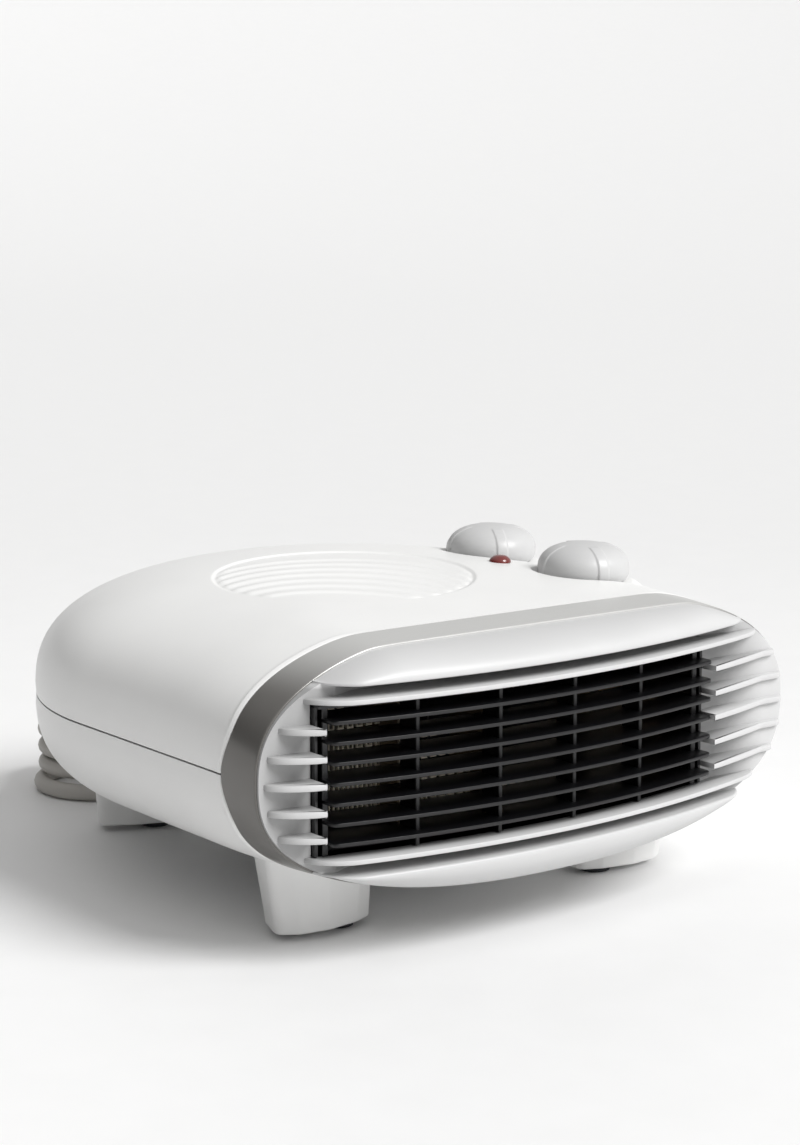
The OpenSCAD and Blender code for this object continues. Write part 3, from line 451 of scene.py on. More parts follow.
INTAKE_R, INTAKE_PITCH, INTAKE_SLOTS, SLOT_HALF = 45, 7.5, 11, 1.7
SCREW_R, SCREW_HOLE = 105, 3.6
GLAND_WAY, GLAND_Z, GLAND_HOLE = (0.8, 0.6, 0), 50, 6.2


def gland_point(r):
    """Point on the gland's axis at a distance from the rear's axis."""
    return (r * GLAND_WAY[0], AXIS_Y + r * GLAND_WAY[1], GLAND_Z)


def lower_holes():
    """Intake slots, screw holes and the cord's hole of the lower cover."""
    holes = []
    for i in range(INTAKE_SLOTS):
        y = (i - INTAKE_SLOTS // 2) * INTAKE_PITCH
        half = math.sqrt(INTAKE_R * INTAKE_R - y * y)
        lo, hi = (OUT_X - half, FAN_Y + y - SLOT_HALF, 10), (OUT_X + half, FAN_Y + y + SLOT_HALF, 30)
        holes.append(Build().box(lo, hi, 0.6))
    rear = SCREW_R * math.cos(math.pi / 4), AXIS_Y + SCREW_R * math.sin(math.pi / 4)
    for side in (-1, 1):
        for x, y in ((side * SCREW_R, -50), (side * rear[0], rear[1])):
            holes.append(Build().lathe([(0, 0), (SCREW_HOLE, 0), (SCREW_HOLE, 30), (0, 30)], (x, y, 18), 32))
    holes.append(Build().turned([(0, 0), (GLAND_HOLE, 0), (GLAND_HOLE, 40), (0, 40)], gland_point(100), GLAND_WAY))
    return holes


# Front
FIN_T, SIDE_FIN_T, FIN_PITCH, FIN_MIDDLE = 1.9, 2.4, 9.6, 2
FIN_TIP, FIN_PROUD = 1.6, 3.4
FIN_ROUND = {-1: 15, 1: 4}
FIN_REACH = {-1: (116.8, 120.8, 122.2, 120.8, 116.2), 1: (119.4, 123.4, 124.2, 123.4, 119.4)}
LONG_FIN_ENDS = [(-107, 15), (109.5, 10)]
LIP_Z = {1: 103.6, -1: 35.9}
LIP_REACH, LIP_ROUND, LIP_T = 101.0, 12, 0.7
RIM_SECTION = ((2, 2.9), (2, 1.0), (-0.4, 0.85), (-0.9, 1.1), (-1.0, 1.6), (-1.0, 4.8), (23, 4.8), (23, 2.9))
BASE_DEEP, BASE_EDGE = 10, 1.05
SLOT_PLAN = [
    (-101, -150), (101, -150), (101, -114.5), (88, -112.1),
    (-78, -112.1), (-86, -113), (-94, -116.6), (-101, -119.5),
]
DUCT_FRONT, DUCT_BACK, DUCT_T = -114, -102.5, 2.5
BEFORE_ALL = -150


def arc_front(dx, back=0.0):
    """Y of the front's arc at a distance from the outlet's middle, or of a parallel arc behind it."""
    return ARC_Y - np.sqrt((FRONT_R - back) ** 2 - np.asarray(dx, float) ** 2)


def arc_y(x, back=0.0):
    """The same Y at an X of the part."""
    return float(arc_front(x - OUT_X, back))


def blade(build, outline, z, thick, soft):
    """Flat blade over a plan outline, with rounded edges."""
    h, near = thick / 2, soft * 0.3
    section = ((-h, soft), (-h + near, near), (-h + soft, 0), (h - soft, 0), (h - near, near), (h, soft))
    build.loft([np.c_[offset_ring(outline, inset), np.full(len(outline), z + up)] for up, inset in section])


def fin_outline(x0, x1, back_y, ends):
    """Plan of a fin between two X, along the front's arc and rounded back to the base before each of its ends."""
    foot = BAND_FRONT - 0.6
    front = []
    for x in x0 + (x1 - x0) * (0.5 - 0.5 * np.cos(np.linspace(0, np.pi, 40))):
        y = min(arc_y(x), BAND_FRONT - FIN_PROUD)
        for end, length in ends:
            u = min(1, abs(end - x) / length)
            y = foot + (y - foot) * math.sqrt(1 - (1 - u) ** 2)
        front.append((x, y))
    tip = FIN_TIP if len(ends) == 1 else 0
    return anticlockwise(rounded(front + [(x1, back_y), (x0, back_y)], [tip] + [0] * (len(front) + 1)))


def base_plan():
    """Front line of the bezel's base, from the left rim to the right one."""
    rim = HALF_W - 0.4
    mid = [(x, arc_y(x) + BASE_DEEP) for x in np.linspace(OUT_LEFT - 4, OUT_RIGHT + 10, 40)]

    def wing(a, b):
        """Hollow line from the rim to the middle part."""
        return [(a[0] + (b[0] - a[0]) * s, a[1] + (b[1] - a[1]) * s**1.8) for s in np.linspace(0, 1, 14)[:-1]]

    left, right = ((side * rim, BAND_FRONT - BASE_EDGE) for side in (-1, 1))
    return wing(left, mid[0]) + mid + wing(right, mid[-1])[::-1]


def lip_curve(x, sign, lower=0.0):
    """Outer line of a lip at one X, from the band forwards to the front's edge."""
    edge = LIP_Z[sign]
    top = SEAM_Z + sign * float(rise(x, 0.8, oval_n(BAND_FRONT)))
    if sign > 0:
        top = float(smin(top, float(roof(BAND_FRONT)) - 0.8))
    y_t, y_f = BAND_FRONT + 0.4, arc_y(x) + 0.3
    end = math.sqrt(1 - (1 - min(1, (LIP_REACH - abs(x)) / LIP_ROUND)) ** 2)
    y_f = y_t + (y_f - y_t) * max(0.06, end)
    h, d = max((top - edge) * sign, 0.9) - lower, y_t - y_f
    out = []
    for a in np.radians(np.linspace(0, 90, 18)):
        c, s = math.cos(a), math.sin(a)
        out.append((x, y_t - d * s**0.92, edge + sign * (LIP_T + (h - LIP_T) * c**0.96)))
    return out


def lip(build, sign):
    """Swelling surface between the band and the front's edge, above or below the outlet."""
    edge_z = LIP_Z[sign]
    rings = []
    for x in LIP_REACH * np.sin(np.linspace(-np.pi / 2, np.pi / 2, 80)):
        ring = lip_curve(x, sign)
        y_f = ring[-1][1]
        ring += [(x, y_f + back, edge_z + sign * up) for back, up in ((0.12, 0.35), (0.45, 0.08), (1.2, 0))]
        ring.append((x, ring[0][1], edge_z))
        rings.append(ring if sign > 0 else ring[::-1])
    build.loft(rings)


def behind_lips():
    """Space behind the lips' outer faces, open between them."""
    rings = []
    for x in np.linspace(-130, 130, 66):
        at = min(max(x, -LIP_REACH), LIP_REACH)
        up, low = ([(x, y, z) for _, y, z in lip_curve(at, s, 0.4)] for s in (1, -1))
        front = [(x, BEFORE_ALL, up[-1][2]), (x, BEFORE_ALL, low[-1][2])]
        rings.append([(x, -95, up[0][2])] + up + front + low[::-1] + [(x, -95, low[0][2])])
    return Build().loft(rings)


def bezel():
    """Base with the opening, rim, lips, fins and duct walls."""
    plan = base_plan()
    line = anticlockwise(plan + [(plan[-1][0], BAND_FRONT + 0.5), (plan[0][0], BAND_FRONT + 0.5)])
    plate = Build().prism(line, 12, 128)
    space = Build().loft([oval_ring(y, 0.8) for y in (FRONT_Y - 5, -125, BAND_FRONT + 0.3)])
    cuts = [Build().box((OUT_LEFT, BEFORE_ALL, OUT_LOW), (OUT_RIGHT, -80, OUT_TOP), 0.2)]
    # Deep slots between the long fins and the lips
    for low, high in ((OUT_TOP + FIN_T, LIP_Z[1]), (LIP_Z[-1], OUT_LOW - FIN_T)):
        cuts.append(Build().prism(SLOT_PLAN, low - 0.6, high + 0.6))
    me = boolean(boolean(mesh_of("plate", plate), "INTERSECT", space, behind_lips()), "DIFFERENCE", *cuts)
    out = Build()
    out.add([tuple(c / MM for c in v.co) for v in me.vertices], [tuple(p.vertices) for p in me.polygons])
    out.hoop([oval_ring(BAND_FRONT + back, inset) for back, inset in RIM_SECTION])
    lip(out, 1)
    lip(out, -1)
    for s, z in ((-1, OUT_LOW - FIN_T / 2), (1, OUT_TOP + FIN_T / 2)):
        long_fin = fin_outline(LONG_FIN_ENDS[0][0], LONG_FIN_ENDS[1][0], BAND_FRONT, LONG_FIN_ENDS)
        blade(out, long_fin, z, FIN_T, 0.5)
        for i, far in enumerate(FIN_REACH[s]):
            ring = fin_outline(OUT_X + s * (JAMB - 0.3), s * far, BAND_FRONT + 0.5, [(s * far, FIN_ROUND[s])])
            blade(out, ring, OUT_Z + (i - FIN_MIDDLE) * FIN_PITCH, SIDE_FIN_T, 0.6)
    # Duct walls behind the front
    low, top = OUT_LOW - FIN_T, OUT_TOP + FIN_T
    for (x0, z0), (x1, z1) in (
        ((OUT_LEFT - DUCT_T, low), (OUT_LEFT, top)),
        ((OUT_RIGHT, low), (OUT_RIGHT + DUCT_T, top)),
        ((OUT_LEFT, OUT_TOP), (OUT_RIGHT, top - 0.1)),
        ((OUT_LEFT, low + 0.1), (OUT_RIGHT, OUT_LOW)),
    ):
        out.box((x0, DUCT_FRONT, z0), (x1, DUCT_BACK, z1), 0.2)
    return out


LOUVRES, LOUVRE_PITCH, LOUVRE_T = 7, 7.25, 1.5
LOUVRE_FRONT, LOUVRE_BACK, LOUVRE_ROUND = 1.5, 19.5, 3.0
BARS, BAR_PITCH, BAR_HALF = (-1.5, -0.5, 0.5, 1.5), 34.75, 0.8
BAR_BACK, BAR_DEEP = 6.8, 10
FRAME_GAP, FRAME_T = 0.3, 1.4
END_BAR_AT, END_BAR_T = 3.4, 2.4


def grille():
    """Louvres, upright bars and the thin surround in the opening."""
    out = Build()
    xs = np.linspace(OUT_LEFT + END_BAR_AT, OUT_RIGHT - 0.5, 40)
    front = [(x, arc_y(x, LOUVRE_FRONT)) for x in xs]
    back = [(x, arc_y(x, LOUVRE_BACK)) for x in xs[::-1]]
    radii = [LOUVRE_ROUND] + [0] * (len(front) - 2) + [LOUVRE_ROUND] + [0] * len(back)
    louvre = anticlockwise(rounded(front + back, radii))
    for i in range(LOUVRES):
        blade(out, louvre, OUT_Z + (i - LOUVRES // 2) * LOUVRE_PITCH, LOUVRE_T, 0.45)
    z0, z1 = OUT_LOW + FRAME_GAP, OUT_TOP - FRAME_GAP
    for k in BARS:
        x = OUT_X + k * BAR_PITCH
        y = float(arc_front(k * BAR_PITCH, BAR_BACK))
        out.box((x - BAR_HALF, y, z0), (x + BAR_HALF, y + BAR_DEEP, z1), 0.25)
    for x in (OUT_LEFT + FRAME_GAP, OUT_RIGHT - FRAME_GAP - FRAME_T):
        out.box((x, -117.2, z0), (x + FRAME_T, -103, z1), 0.2)
    for x in (OUT_LEFT + END_BAR_AT, OUT_RIGHT - END_BAR_AT - END_BAR_T):
        out.box((x, -117.5, z0), (x + END_BAR_T, -106, z1), 0.25)
    xs = np.linspace(OUT_LEFT + FRAME_GAP, OUT_RIGHT - FRAME_GAP, 40)
    for low, high, back in ((z0, z0 + 1, 15.0), (z1 - 1, z1, 5.0)):
        out.prism([(x, min(-103.5, arc_y(x, back))) for x in xs] + [(x, -103.0) for x in xs[::-1]], low, high)
    return out


# Other pieces
BAND_FRONT_SECTION = ((0, 2.6), (0, 0.5), (0.12, 0.22), (0.45, 0.03), (1, 0), (9, 0))
BAND_BACK_SECTION = ((-1, 0), (-0.45, 0.05), (-0.12, 0.3), (0, 0.6), (0, 2.6))


def band():
    """Closed ring over the shell's front edge, whose rear edge bows backwards."""
    rings = [oval_ring(BAND_FRONT + back, inset, 80) for back, inset in BAND_FRONT_SECTION]
    for back, inset in BAND_BACK_SECTION:
        ring = oval_ring(BAND_BACK + back, inset, 80)
        ring[:, 1] += bow(ring[:, 2] - SEAM_Z)
        rings.append(ring)
    return Build().hoop(rings)


KNOB_WIDE, KNOB_FOOT, KNOB_CROWN = KNOB_R + 0.5, 4.6, KNOB_H - 0.7
KNOB_DRAWN, KNOB_POWER = 2.6, 0.84
KNOB_RIB, KNOB_RIB_HALF = 0.7, 2.4


def knob(cy, turn):
    """Domed knob with four raised ribs, the first one turned by an angle in degrees."""
    n, base = 320, POCKET_Z + 0.3
    foot, dome = np.radians(np.linspace(0, 84, 9)), np.radians(np.linspace(1, 88, 42))
    profile = [(KNOB_WIDE - KNOB_DRAWN * (1 - math.sin(t)) ** 1.1, KNOB_FOOT * (1 - math.cos(t))) for t in foot]
    for t in dome:
        up = (KNOB_CROWN - KNOB_FOOT) * math.sin(t) ** KNOB_POWER
        profile.append((KNOB_WIDE * math.cos(t) ** KNOB_POWER, KNOB_FOOT + up))
    a = np.linspace(0, 2 * np.pi, n, endpoint=False)
    rings = []
    for r, z in profile:
        # Distance from the nearest rib's line
        near = np.abs((a - math.radians(turn) + np.pi / 4) % (np.pi / 2) - np.pi / 4) * r
        up = KNOB_RIB * step((KNOB_RIB_HALF - near) / 0.4) * step((r - 8) / 2.5) * step(z)
        k = z / KNOB_H
        out = r + up * (1 - 0.6 * k)
        rings.append(np.c_[KNOB_X + out * np.cos(a), cy + out * np.sin(a), base + z + 0.4 * up * k])
    rings.append(np.c_[np.full(n, KNOB_X), np.full(n, cy), np.full(n, base + KNOB_CROWN)])
    return Build().loft(rings)


FRONT_FOOT = [(-94, -77), (-86, -82), (-74, -83.5), (-60, -81), (-51, -77), (-51, -60), (-88, -60)]
FRONT_TOP = [(-98, -76), (-88, -82), (-74, -84), (-58, -82), (-49, -77), (-49, -56), (-92, -56)]
REAR_FOOT = [(-69, 94), (-56, 87), (-33, 79), (-31, 97), (-60, 108)]
REAR_TOP = [(-73, 92), (-57, 83), (-31, 75), (-29, 99), (-62, 110)]
LEG_CORNER = 4.5


def leg(foot, top, side):
    """Leg from its rounded outline on the pads' height up to the belly."""
    def belly(x, y):
        return SEAM_Z - float(rise(plan_r(x, y))) + 0.5

    def ring(w, z, inset):
        """Outline between foot and top: w is the share of the top."""
        pts = [tuple(a * (1 - w) + b * w for a, b in zip(p, q)) for p, q in zip(foot, top)]
        pts = rounded(pts, [LEG_CORNER] * len(pts), 7)
        if side > 0:
            pts = [(-x, y) for x, y in pts]
        return [(x, y, z) for x, y in offset_ring(anticlockwise(pts), inset)]

    rings = [ring(0, z, i) for z, i in ((2.5, 1.1), (2.6, 0.6), (2.9, 0.2), (3.4, 0.03), (4.2, 0))]
    for k in range(1, 9):
        w = k / 8
        rings.append([(x, y, min(z, belly(x, y))) for x, y, z in ring(w * 0.9, 5 + w * 30, 0)])
    return Build().loft(rings)


PAD_SPOTS = ((-63, -72), (-42, 92))
PAD_PROFILE = [(0, 0), (5.4, 0), (6.0, 0.3), (6.2, 0.9), (6.2, 2.5), (0, 2.5)]
LAMP_AT = (58, -16.5, 117.6)
LAMP_PROFILE = [
    (0, -6), (3.3, -6), (3.3, 0), (4.5, 0), (4.5, 0.5), (4.3, 1.0),
    (3.87, 1.6), (3.3, 2.1), (2.7, 2.5), (1.9, 2.8), (1.0, 2.95), (0, 3),
]


def pads():
    """Four rubber pads."""
    out = Build()
    for side in (-1, 1):
        for x, y in PAD_SPOTS:
            out.lathe(PAD_PROFILE, (side * x, y, 0), 48)
    return out


def cord_sleeve():
    """Ribbed strain relief that narrows along the cord."""
    profile = [(0, 0), (7.4, 0), (7.4, 1.8), (5.9, 1.8), (5.9, 15)]
    for k in range(6):
        a = 16.5 + 5.2 * k
        r = 5.8 - 0.9 * (a - 15) / 35
        profile += [(r, a), (r, a + 3.0), (r - 1.1, a + 3.3), (r - 1.1, a + 4.9)]
    profile += [(4.85, 48.2), (4.8, 49.6), (4.4, 50), (0, 50)]
    return Build().turned(profile, gland_point(110), GLAND_WAY)


# Cord
GLAND_END, HANK_START = (128, 107, 50), (82, 188, 27)
HANK_END, PLUG_START = (82, 136, 3.6), (143, 212, 18.6)
MAINS_SHARES = [
    (0, 0, 0), (-0.174, 0.08, 0), (-0.457, 0.253, 0.109), (-0.63, 0.493, 0.348), (-0.565, 0.733, 0.609),
    (-0.283, 0.92, 0.826), (0.109, 0.987, 0.957), (0.543, 1, 1), (1, 1, 1),
]
TAIL_SHARES = [
    (0, 0, 0), (0.295, 0, 0), (0.59, 0.037, 0), (0.836, 0.159, 0.027), (0.967, 0.354, 0.16),
    (1, 0.561, 0.493), (1, 0.768, 0.893), (1, 0.89, 1), (1, 1, 1),
]
HANK = dict(right=82.0, run=110.0, y=166.0, fold=22.0, step=8.0, layer=7.8, loops=3, waist=4.6, tie=1.0)


def spline(points, steps):
    """Smooth curve through points, as in the part's source."""
    p = [np.array(q, float) for q in points]
    out = []
    n = len(p) - 1
    for i in range(n):
        a, b, c, d = p[max(i - 1, 0)], p[i], p[i + 1], p[min(i + 2, n)]
        for k in range(steps):
            t = k / steps
            bend, twist = 2 * a - 5 * b + 4 * c - d, 3 * b - a - 3 * c + d
            out.append(0.5 * (2 * b + (c - a) * t + bend * t * t + twist * t**3))
    out.append(p[-1])
    return out


def route(shares, start, end):
    """Points between a start and an end, given as shares of the way along each axis."""
    return [tuple(a + q * (b - a) for q, a, b in zip(share, start, end)) for share in shares]


def hank_path():
    """Runs and folds of the hank, one loop under the other."""
    h = HANK
    left = h["right"] - h["run"]
    pinch = h["waist"] - h["fold"]  # the tie draws the runs together
    pts = []
    for j in range(h["loops"] + 1):
        z = CORD_R + (h["loops"] - j) * h["layer"]
        last = j == h["loops"]
        aside = h["step"] if last else 0
        runs = [(i / 8, math.sin(math.pi * i / 8) ** 2) for i in range(8)]
        for s, w in runs:
            pts.append((h["right"] - h["run"] * s, h["y"] + h["fold"] + pinch * w, z + h["tie"] * w))
        wide = aside / 2
        r = h["fold"] + wide
        for a in (math.radians(90 + 30 * i) for i in range(6)):
            pts.append((left + r * math.cos(a), h["y"] - wide + r * math.sin(a), z))
        for s, w in runs:
            fall = 0 if last else s * s * (3 - 2 * s)
            y = h["y"] - aside - h["fold"] - pinch * w
            pts.append((h["right"] - h["run"] * (1 - s), y, z - fall * h["layer"] + h["tie"] * w))
        if not last:
            for a in (math.radians(270 + 30 * i) for i in range(6)):
                x, y = h["right"] + h["fold"] * math.cos(a), h["y"] + h["fold"] * math.sin(a)
                pts.append((x, y, z - h["layer"]))
    return pts


def make_cord(material):
    """One curve from the gland through the hank to the plug, and its length in metres."""
    mains, tail = route(MAINS_SHARES, GLAND_END, HANK_START), route(TAIL_SHARES, HANK_END, PLUG_START)
    line = spline(mains[:-1] + hank_path() + tail, 4)
    cu = bpy.data.curves.new("mains_lead", "CURVE")
    cu.dimensions = "3D"
    sp = cu.splines.new("POLY")
    sp.points.add(len(line) - 1)
    for q, p in zip(sp.points, line):
        q.co = (p[0] * MM, p[1] * MM, p[2] * MM, 1)
    sp.use_smooth = True
    cu.bevel_depth = CORD_R * MM
    cu.bevel_resolution = 5
    cu.use_fill_caps = True
    cu.materials.append(material)
    o = new_object("mains_lead", cu)
    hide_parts("mains_cord", "cord_hank", "cord_tail")
    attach(o, "housing")
    length = sum(float(np.linalg.norm(b - a)) for a, b in zip(line, line[1:])) * MM
    return o, length


# Materials
MARK_SCALE, GRAIN_DEPTH = 40.0, 0.0003


def linear(c):
    """Linear values of a colour given from 0 to 255."""
    return tuple((v / 255 / 12.92) if v / 255 <= 0.04045 else ((v / 255 + 0.055) / 1.055) ** 2.4 for v in c)


def feed(tree, made, inputs):
    """Sets a node's inputs: each is a value or another node's output."""
    for key, value in inputs.items():
        if isinstance(value, bpy.types.NodeSocket):
            tree.links.new(value, made.inputs[key])
        else:
            made.inputs[key].default_value = value


def node(tree, kind, inputs=None, **settings):
    """Adds a shader node with its settings and inputs."""
    made = tree.nodes.new("ShaderNode" + kind)
    for key, value in settings.items():
        setattr(made, key, value)
    feed(tree, made, inputs or {})
    return made


def finish(name, colour, rough=0.4, metal=0.0, vary=0.02, grain=900.0, bump=0.02, coat=0.0, stretch=(1, 1, 1)):
    """Material with slight colour and gloss variation and a fine moulded or drawn grain."""
    m = bpy.data.materials.new(name)
    m.use_nodes = True
    tree = m.node_tree
    place = node(tree, "TexCoord").outputs["Object"]
    mapped = node(tree, "Mapping", {"Vector": place, "Scale": stretch}).outputs["Vector"]
    marks = node(tree, "TexNoise", {"Vector": mapped, "Scale": MARK_SCALE, "Detail": 4}).outputs["Fac"]
    ramp = node(tree, "ValToRGB", {"Fac": marks})
    for end, at, share in zip(ramp.color_ramp.elements, (0.3, 0.7), (1 - vary, 1 + vary * 0.5)):
        end.position, end.color = at, (*linear([min(255, v * share) for v in colour]), 1)
    gloss = node(tree, "MapRange", {"Value": marks, "To Min": rough * 0.88, "To Max": min(1, rough * 1.12)})
    fine = node(tree, "TexNoise", {"Vector": mapped, "Scale": grain, "Detail": 2}).outputs["Fac"]
    relief = node(tree, "Bump", {"Height": fine, "Strength": bump, "Distance": GRAIN_DEPTH})
    feed(tree, tree.nodes["Principled BSDF"], {
        "Base Color": ramp.outputs["Color"],
        "Roughness": gloss.outputs["Result"],
        "Normal": relief.outputs["Normal"],
        "Metallic": metal,
        "Coat Weight": coat,
        "Coat Roughness": 0.15,
    })
    return m


STEEL = (120, 121, 124)
FINISHES = dict(
    shell_white=dict(colour=(235, 235, 234), rough=0.34, vary=0.006, bump=0.05),
    bezel_grey=dict(colour=(200, 200, 200), rough=0.42, vary=0.008, bump=0.05),
    band_silver=dict(colour=(108, 106, 103), rough=0.3, metal=0.35, vary=0.02, bump=0.05),
    grille_black=dict(colour=(13, 13, 15), rough=0.3, vary=0.06, bump=0.08),
    pad_rubber=dict(colour=(32, 34, 38), rough=0.7, vary=0.08, bump=0.3, grain=1500),
    sheet_steel=dict(colour=STEEL, rough=0.35, metal=0.9, vary=0.05, bump=0.1, stretch=(1, 8, 8)),
    core_steel=dict(colour=STEEL, rough=0.45, metal=0.8, vary=0.06, bump=0.4, grain=1200, stretch=(0.1, 0.1, 2)),
    mica=dict(colour=(112, 98, 76), rough=0.5, vary=0.15, bump=0.3, grain=300),
    ribbon_alloy=dict(colour=(236, 226, 208), rough=0.5, metal=0.15, vary=0.1, bump=0.1),
    terminal_brass=dict(colour=(200, 165, 90), rough=0.3, metal=0.9, vary=0.05),
    cutout_copper=dict(colour=(236, 204, 168), rough=0.4, metal=0.05, vary=0.06),
    inner_black=dict(colour=(28, 28, 29), rough=0.6, vary=0.08, bump=0.1),
    wheel_grey=dict(colour=(52, 52, 54), rough=0.5, vary=0.06, bump=0.1),
    shaft_steel=dict(colour=(190, 192, 196), rough=0.25, metal=1.0, vary=0.04, stretch=(1, 1, 12)),
    coil_copper=dict(colour=(182, 108, 62), rough=0.35, metal=0.8, vary=0.1, bump=0.5, grain=600, stretch=(0.2, 4, 4)),
    screw_zinc=dict(colour=(196, 197, 200), rough=0.3, metal=1.0, vary=0.05),
    ceramic=dict(colour=(214, 209, 192), rough=0.5, vary=0.03, bump=0.1),
    knob_grey=dict(colour=(198, 198, 198), rough=0.38, vary=0.008, bump=0.06),
    lamp_red=dict(colour=(112, 44, 41), rough=0.2, vary=0.06, coat=0.6),
    cord_grey=dict(colour=(184, 181, 176), rough=0.5, vary=0.03, bump=0.15, grain=1400),
)
MAT = {k: finish(k, **v) for k, v in FINISHES.items()}


def fade_to(paint, factor, colour):
    """Mixes a material's colour towards a linear one by the value of a node's output."""
    tree = paint.node_tree
    base = tree.nodes["Principled BSDF"].inputs["Base Color"]
    mix = node(tree, "Mix", {0: factor, 6: base.links[0].from_socket, 7: (*colour, 1)}, data_type="RGBA")
    tree.links.new(mix.outputs[2], base)


def object_xyz(tree):
    """Object coordinates as three outputs."""
    return node(tree, "SeparateXYZ", {0: node(tree, "TexCoord").outputs["Object"]}).outputs


# Painted light on the band: heights over which its top turns paler, and that paler tone
BAND_DARK_Z, BAND_PALE_Z, BAND_PAINTED_TONE = 0.098, 0.117, (206, 206, 204)


def band_painted_light(paint):
    """Painted light: the band's colour fades to a paler tone on its flat top, where light falls, and keeps its darker
    tone on its ends.
    """
    tree = paint.node_tree
    height = {"Value": object_xyz(tree)["Z"], "From Min": BAND_DARK_Z, "From Max": BAND_PALE_Z}
    level = node(tree, "MapRange", height, interpolation_type="SMOOTHSTEP")
    fade_to(paint, level.outputs["Result"], linear(BAND_PAINTED_TONE))


# Painted shade between the fins: its tone, its share and where it reaches
GROOVE_SHADE_TONE, GROOVE_SHARE = (150, 150, 150), 0.75
GROOVE_FROM, GROOVE_TO = 2, 8  # distances behind the front's arc
GROOVE_REACH = 33.5  # height above and below the outlet's middle


def groove_painted_shade(paint):
    """Painted shade deep between the fins: darker by the distance behind the front's arc, between the lips."""
    tree = paint.node_tree

    def math_node(kind, *values):
        return node(tree, "Math", dict(enumerate(values)), operation=kind).outputs[0]

    def level(value, lo, hi, to):
        inputs = {"Value": value, "From Min": lo * MM, "From Max": hi * MM, "To Max": to}
        return node(tree, "MapRange", inputs).outputs["Result"]

    place = object_xyz(tree)
    side = math_node("SUBTRACT", place["X"], OUT_X * MM)
    sag = math_node("MULTIPLY", math_node("MULTIPLY", side, side), 0.5 / (FRONT_R * MM))
    behind = math_node("SUBTRACT", place["Y"], sag)
    depth = level(behind, FRONT_Y + GROOVE_FROM, FRONT_Y + GROOVE_TO, GROOVE_SHARE)
    off = math_node("ABSOLUTE", math_node("SUBTRACT", place["Z"], OUT_Z * MM))
    inner = level(off, GROOVE_REACH, GROOVE_REACH - 1, 1.0)
    fade_to(paint, math_node("MULTIPLY", depth, inner), linear(GROOVE_SHADE_TONE))


# Floor, sky and light
FLOOR_RADII = (0.1, 300, 800, 1600, 2600)
WALL_START, WALL_R, WALL_TURN = 3400, 14000, 21
FLOOR_TONE = (243, 243, 243)
FLOOR_NEAR = (-0.3, -0.5, 0)
# Painted shade on the far floor: where it starts and ends, its share and its tone
FAR_FROM, FAR_TO, FAR_SHARE, FAR_SHADE_TONE = 0.6, 1.5, 0.15, (0.35, 0.348, 0.345)
BRIGHT_WAY = Vector((0.6, -0.15, 0.78)).normalized()
SKY_FROM, SKY_TO, SKY_BRIGHT, SKY_SEEN = -0.3, 0.5, 0.6, 0.87
SKY_COLOUR = (1, 0.996, 0.99, 1)
KEY_FROM, KEY_LEVEL, KEY_SPREAD = (0.5, -1.3, 1.25), 2.95, 30


def make_floor():
    """Pale round floor that rises into a low wall far from the object."""
    wall = np.radians(np.linspace(0, WALL_TURN, 16))
    profile = [(r, 0) for r in FLOOR_RADII]
    profile += [(WALL_START + WALL_R * math.sin(a), WALL_R * (1 - math.cos(a))) for a in wall]
    me = mesh_of("floor", Build().lathe(profile, (0, 0, 0), 120, caps=False))
    smooth(me, 180)
    floor = new_object("floor", me)
    paint = finish("floor_white", FLOOR_TONE, rough=0.5, vary=0.004, bump=0.0)
    me.materials.append(paint)
    # Painted shade: the far part is a little darker than the floor before the object
    tree = paint.node_tree
    place = node(tree, "TexCoord").outputs["Object"]
    away = node(tree, "VectorMath", {0: place, 1: FLOOR_NEAR}, operation="DISTANCE").outputs["Value"]
    reach = {"Value": away, "From Min": FAR_FROM, "From Max": FAR_TO, "To Max": FAR_SHARE}
    fade = node(tree, "MapRange", reach, interpolation_type="SMOOTHSTEP")
    fade_to(paint, fade.outputs["Result"], FAR_SHADE_TONE)


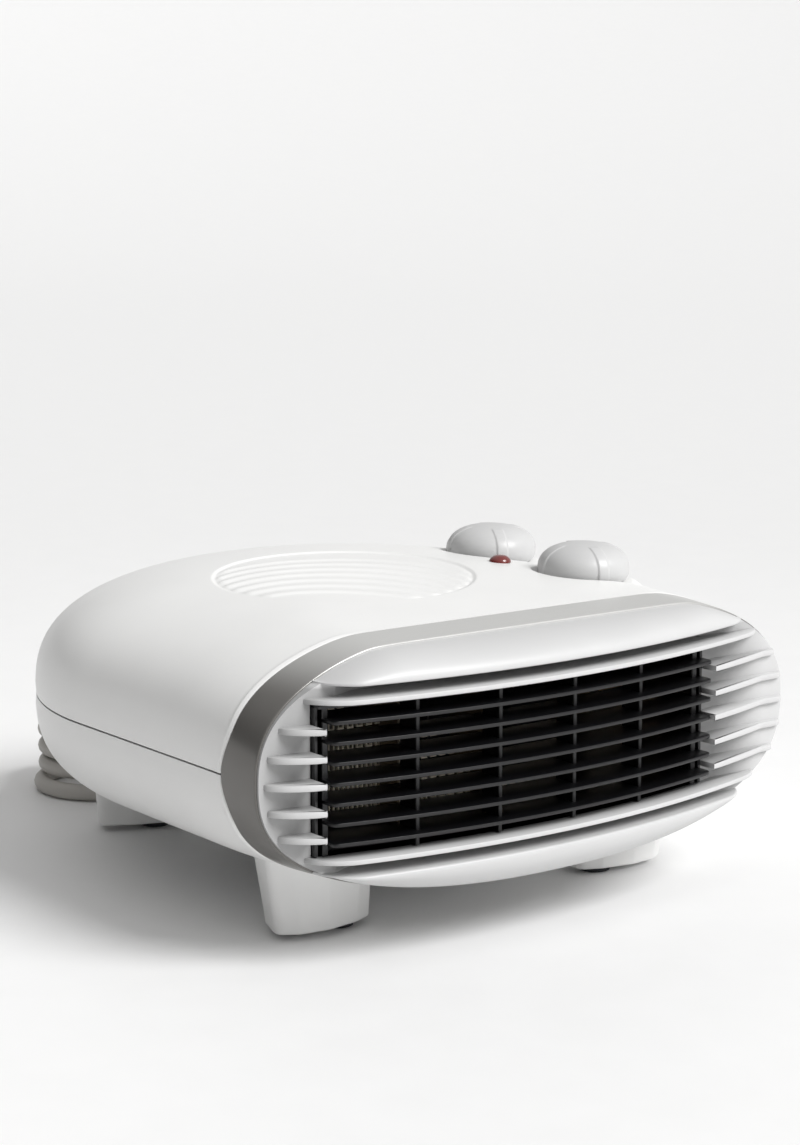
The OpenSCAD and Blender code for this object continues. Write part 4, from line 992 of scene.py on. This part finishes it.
def make_sky():
    """Soft light that comes mostly from above and from the right."""
    world = bpy.data.worlds.new("studio")
    scene.world = world
    world.use_nodes = True
    tree = world.node_tree
    way = node(tree, "TexCoord").outputs["Generated"]
    side = node(tree, "VectorMath", {0: way, 1: BRIGHT_WAY}, operation="DOT_PRODUCT").outputs["Value"]
    reach = {"Value": side, "From Min": SKY_FROM, "From Max": SKY_TO, "To Max": SKY_BRIGHT}
    level = node(tree, "MapRange", reach, interpolation_type="SMOOTHSTEP").outputs["Result"]
    # Beyond the floor's edge the camera sees an even pale tone
    seen = node(tree, "LightPath").outputs["Is Camera Ray"]
    strength = node(tree, "Mix", {0: seen, 2: level, 3: SKY_SEEN}).outputs[0]
    feed(tree, tree.nodes["Background"], {"Strength": strength, "Color": SKY_COLOUR})


def make_key_light():
    """One broad light from the front."""
    light = bpy.data.lights.new("key", "SUN")
    light.energy, light.angle = KEY_LEVEL, math.radians(KEY_SPREAD)
    o = new_object("key", light)
    o.location = KEY_FROM
    o.rotation_euler = (-Vector(KEY_FROM)).to_track_quat("-Z", "Y").to_euler()


# Assembly
make_camera()
lead, lead_length = make_cord(MAT["cord_grey"])
print("lead length", round(lead_length, 4))

for row in frame["record"]["subparts"]:
    for spot in frame["nodes"][row["node"]].material_slots:
        spot.material = MAT[row["material_slot"]]

put("shell_upper", cover(True), "shell_white", ["upper_cover"], sharp=70)
put("shell_lower", boolean(cover(False), "DIFFERENCE", *lower_holes()), "shell_white", ["lower_cover"], sharp=50)
put("silver_band", band(), "band_silver", ["trim_band"], sharp=60)
put("bezel", bezel(), "bezel_grey", ["front_bezel"], sharp=40)
put("grille", grille(), "grille_black", ["outlet_grille"], sharp=40)
for name, cy, turn in (("thermostat", THERMO_Y, 67), ("selector", SELECT_Y, 76)):
    put(name + "_grip", knob(cy, turn), "knob_grey", [name + "_knob"], body=name, sharp=60)
for where, foot, top in (("front", FRONT_FOOT, FRONT_TOP), ("rear", REAR_FOOT, REAR_TOP)):
    for tag, side in (("left", -1), ("right", 1)):
        put(f"foot_{where}_{tag}", leg(foot, top, side), "shell_white", [f"leg_{where}_{tag}"], sharp=50)
put("pads", pads(), "pad_rubber", ["rubber_pads"])
put("lamp", Build().lathe(LAMP_PROFILE, LAMP_AT, 48), "lamp_red", ["lamp_lens"], sharp=50)
put("cord_sleeve", cord_sleeve(), "cord_grey", ["strain_relief"])

# Painted light: paler tone on the band's top
band_painted_light(MAT["band_silver"])
# Painted shade deep between the bezel's fins
groove_painted_shade(MAT["bezel_grey"])
make_floor()
make_sky()
make_key_light()
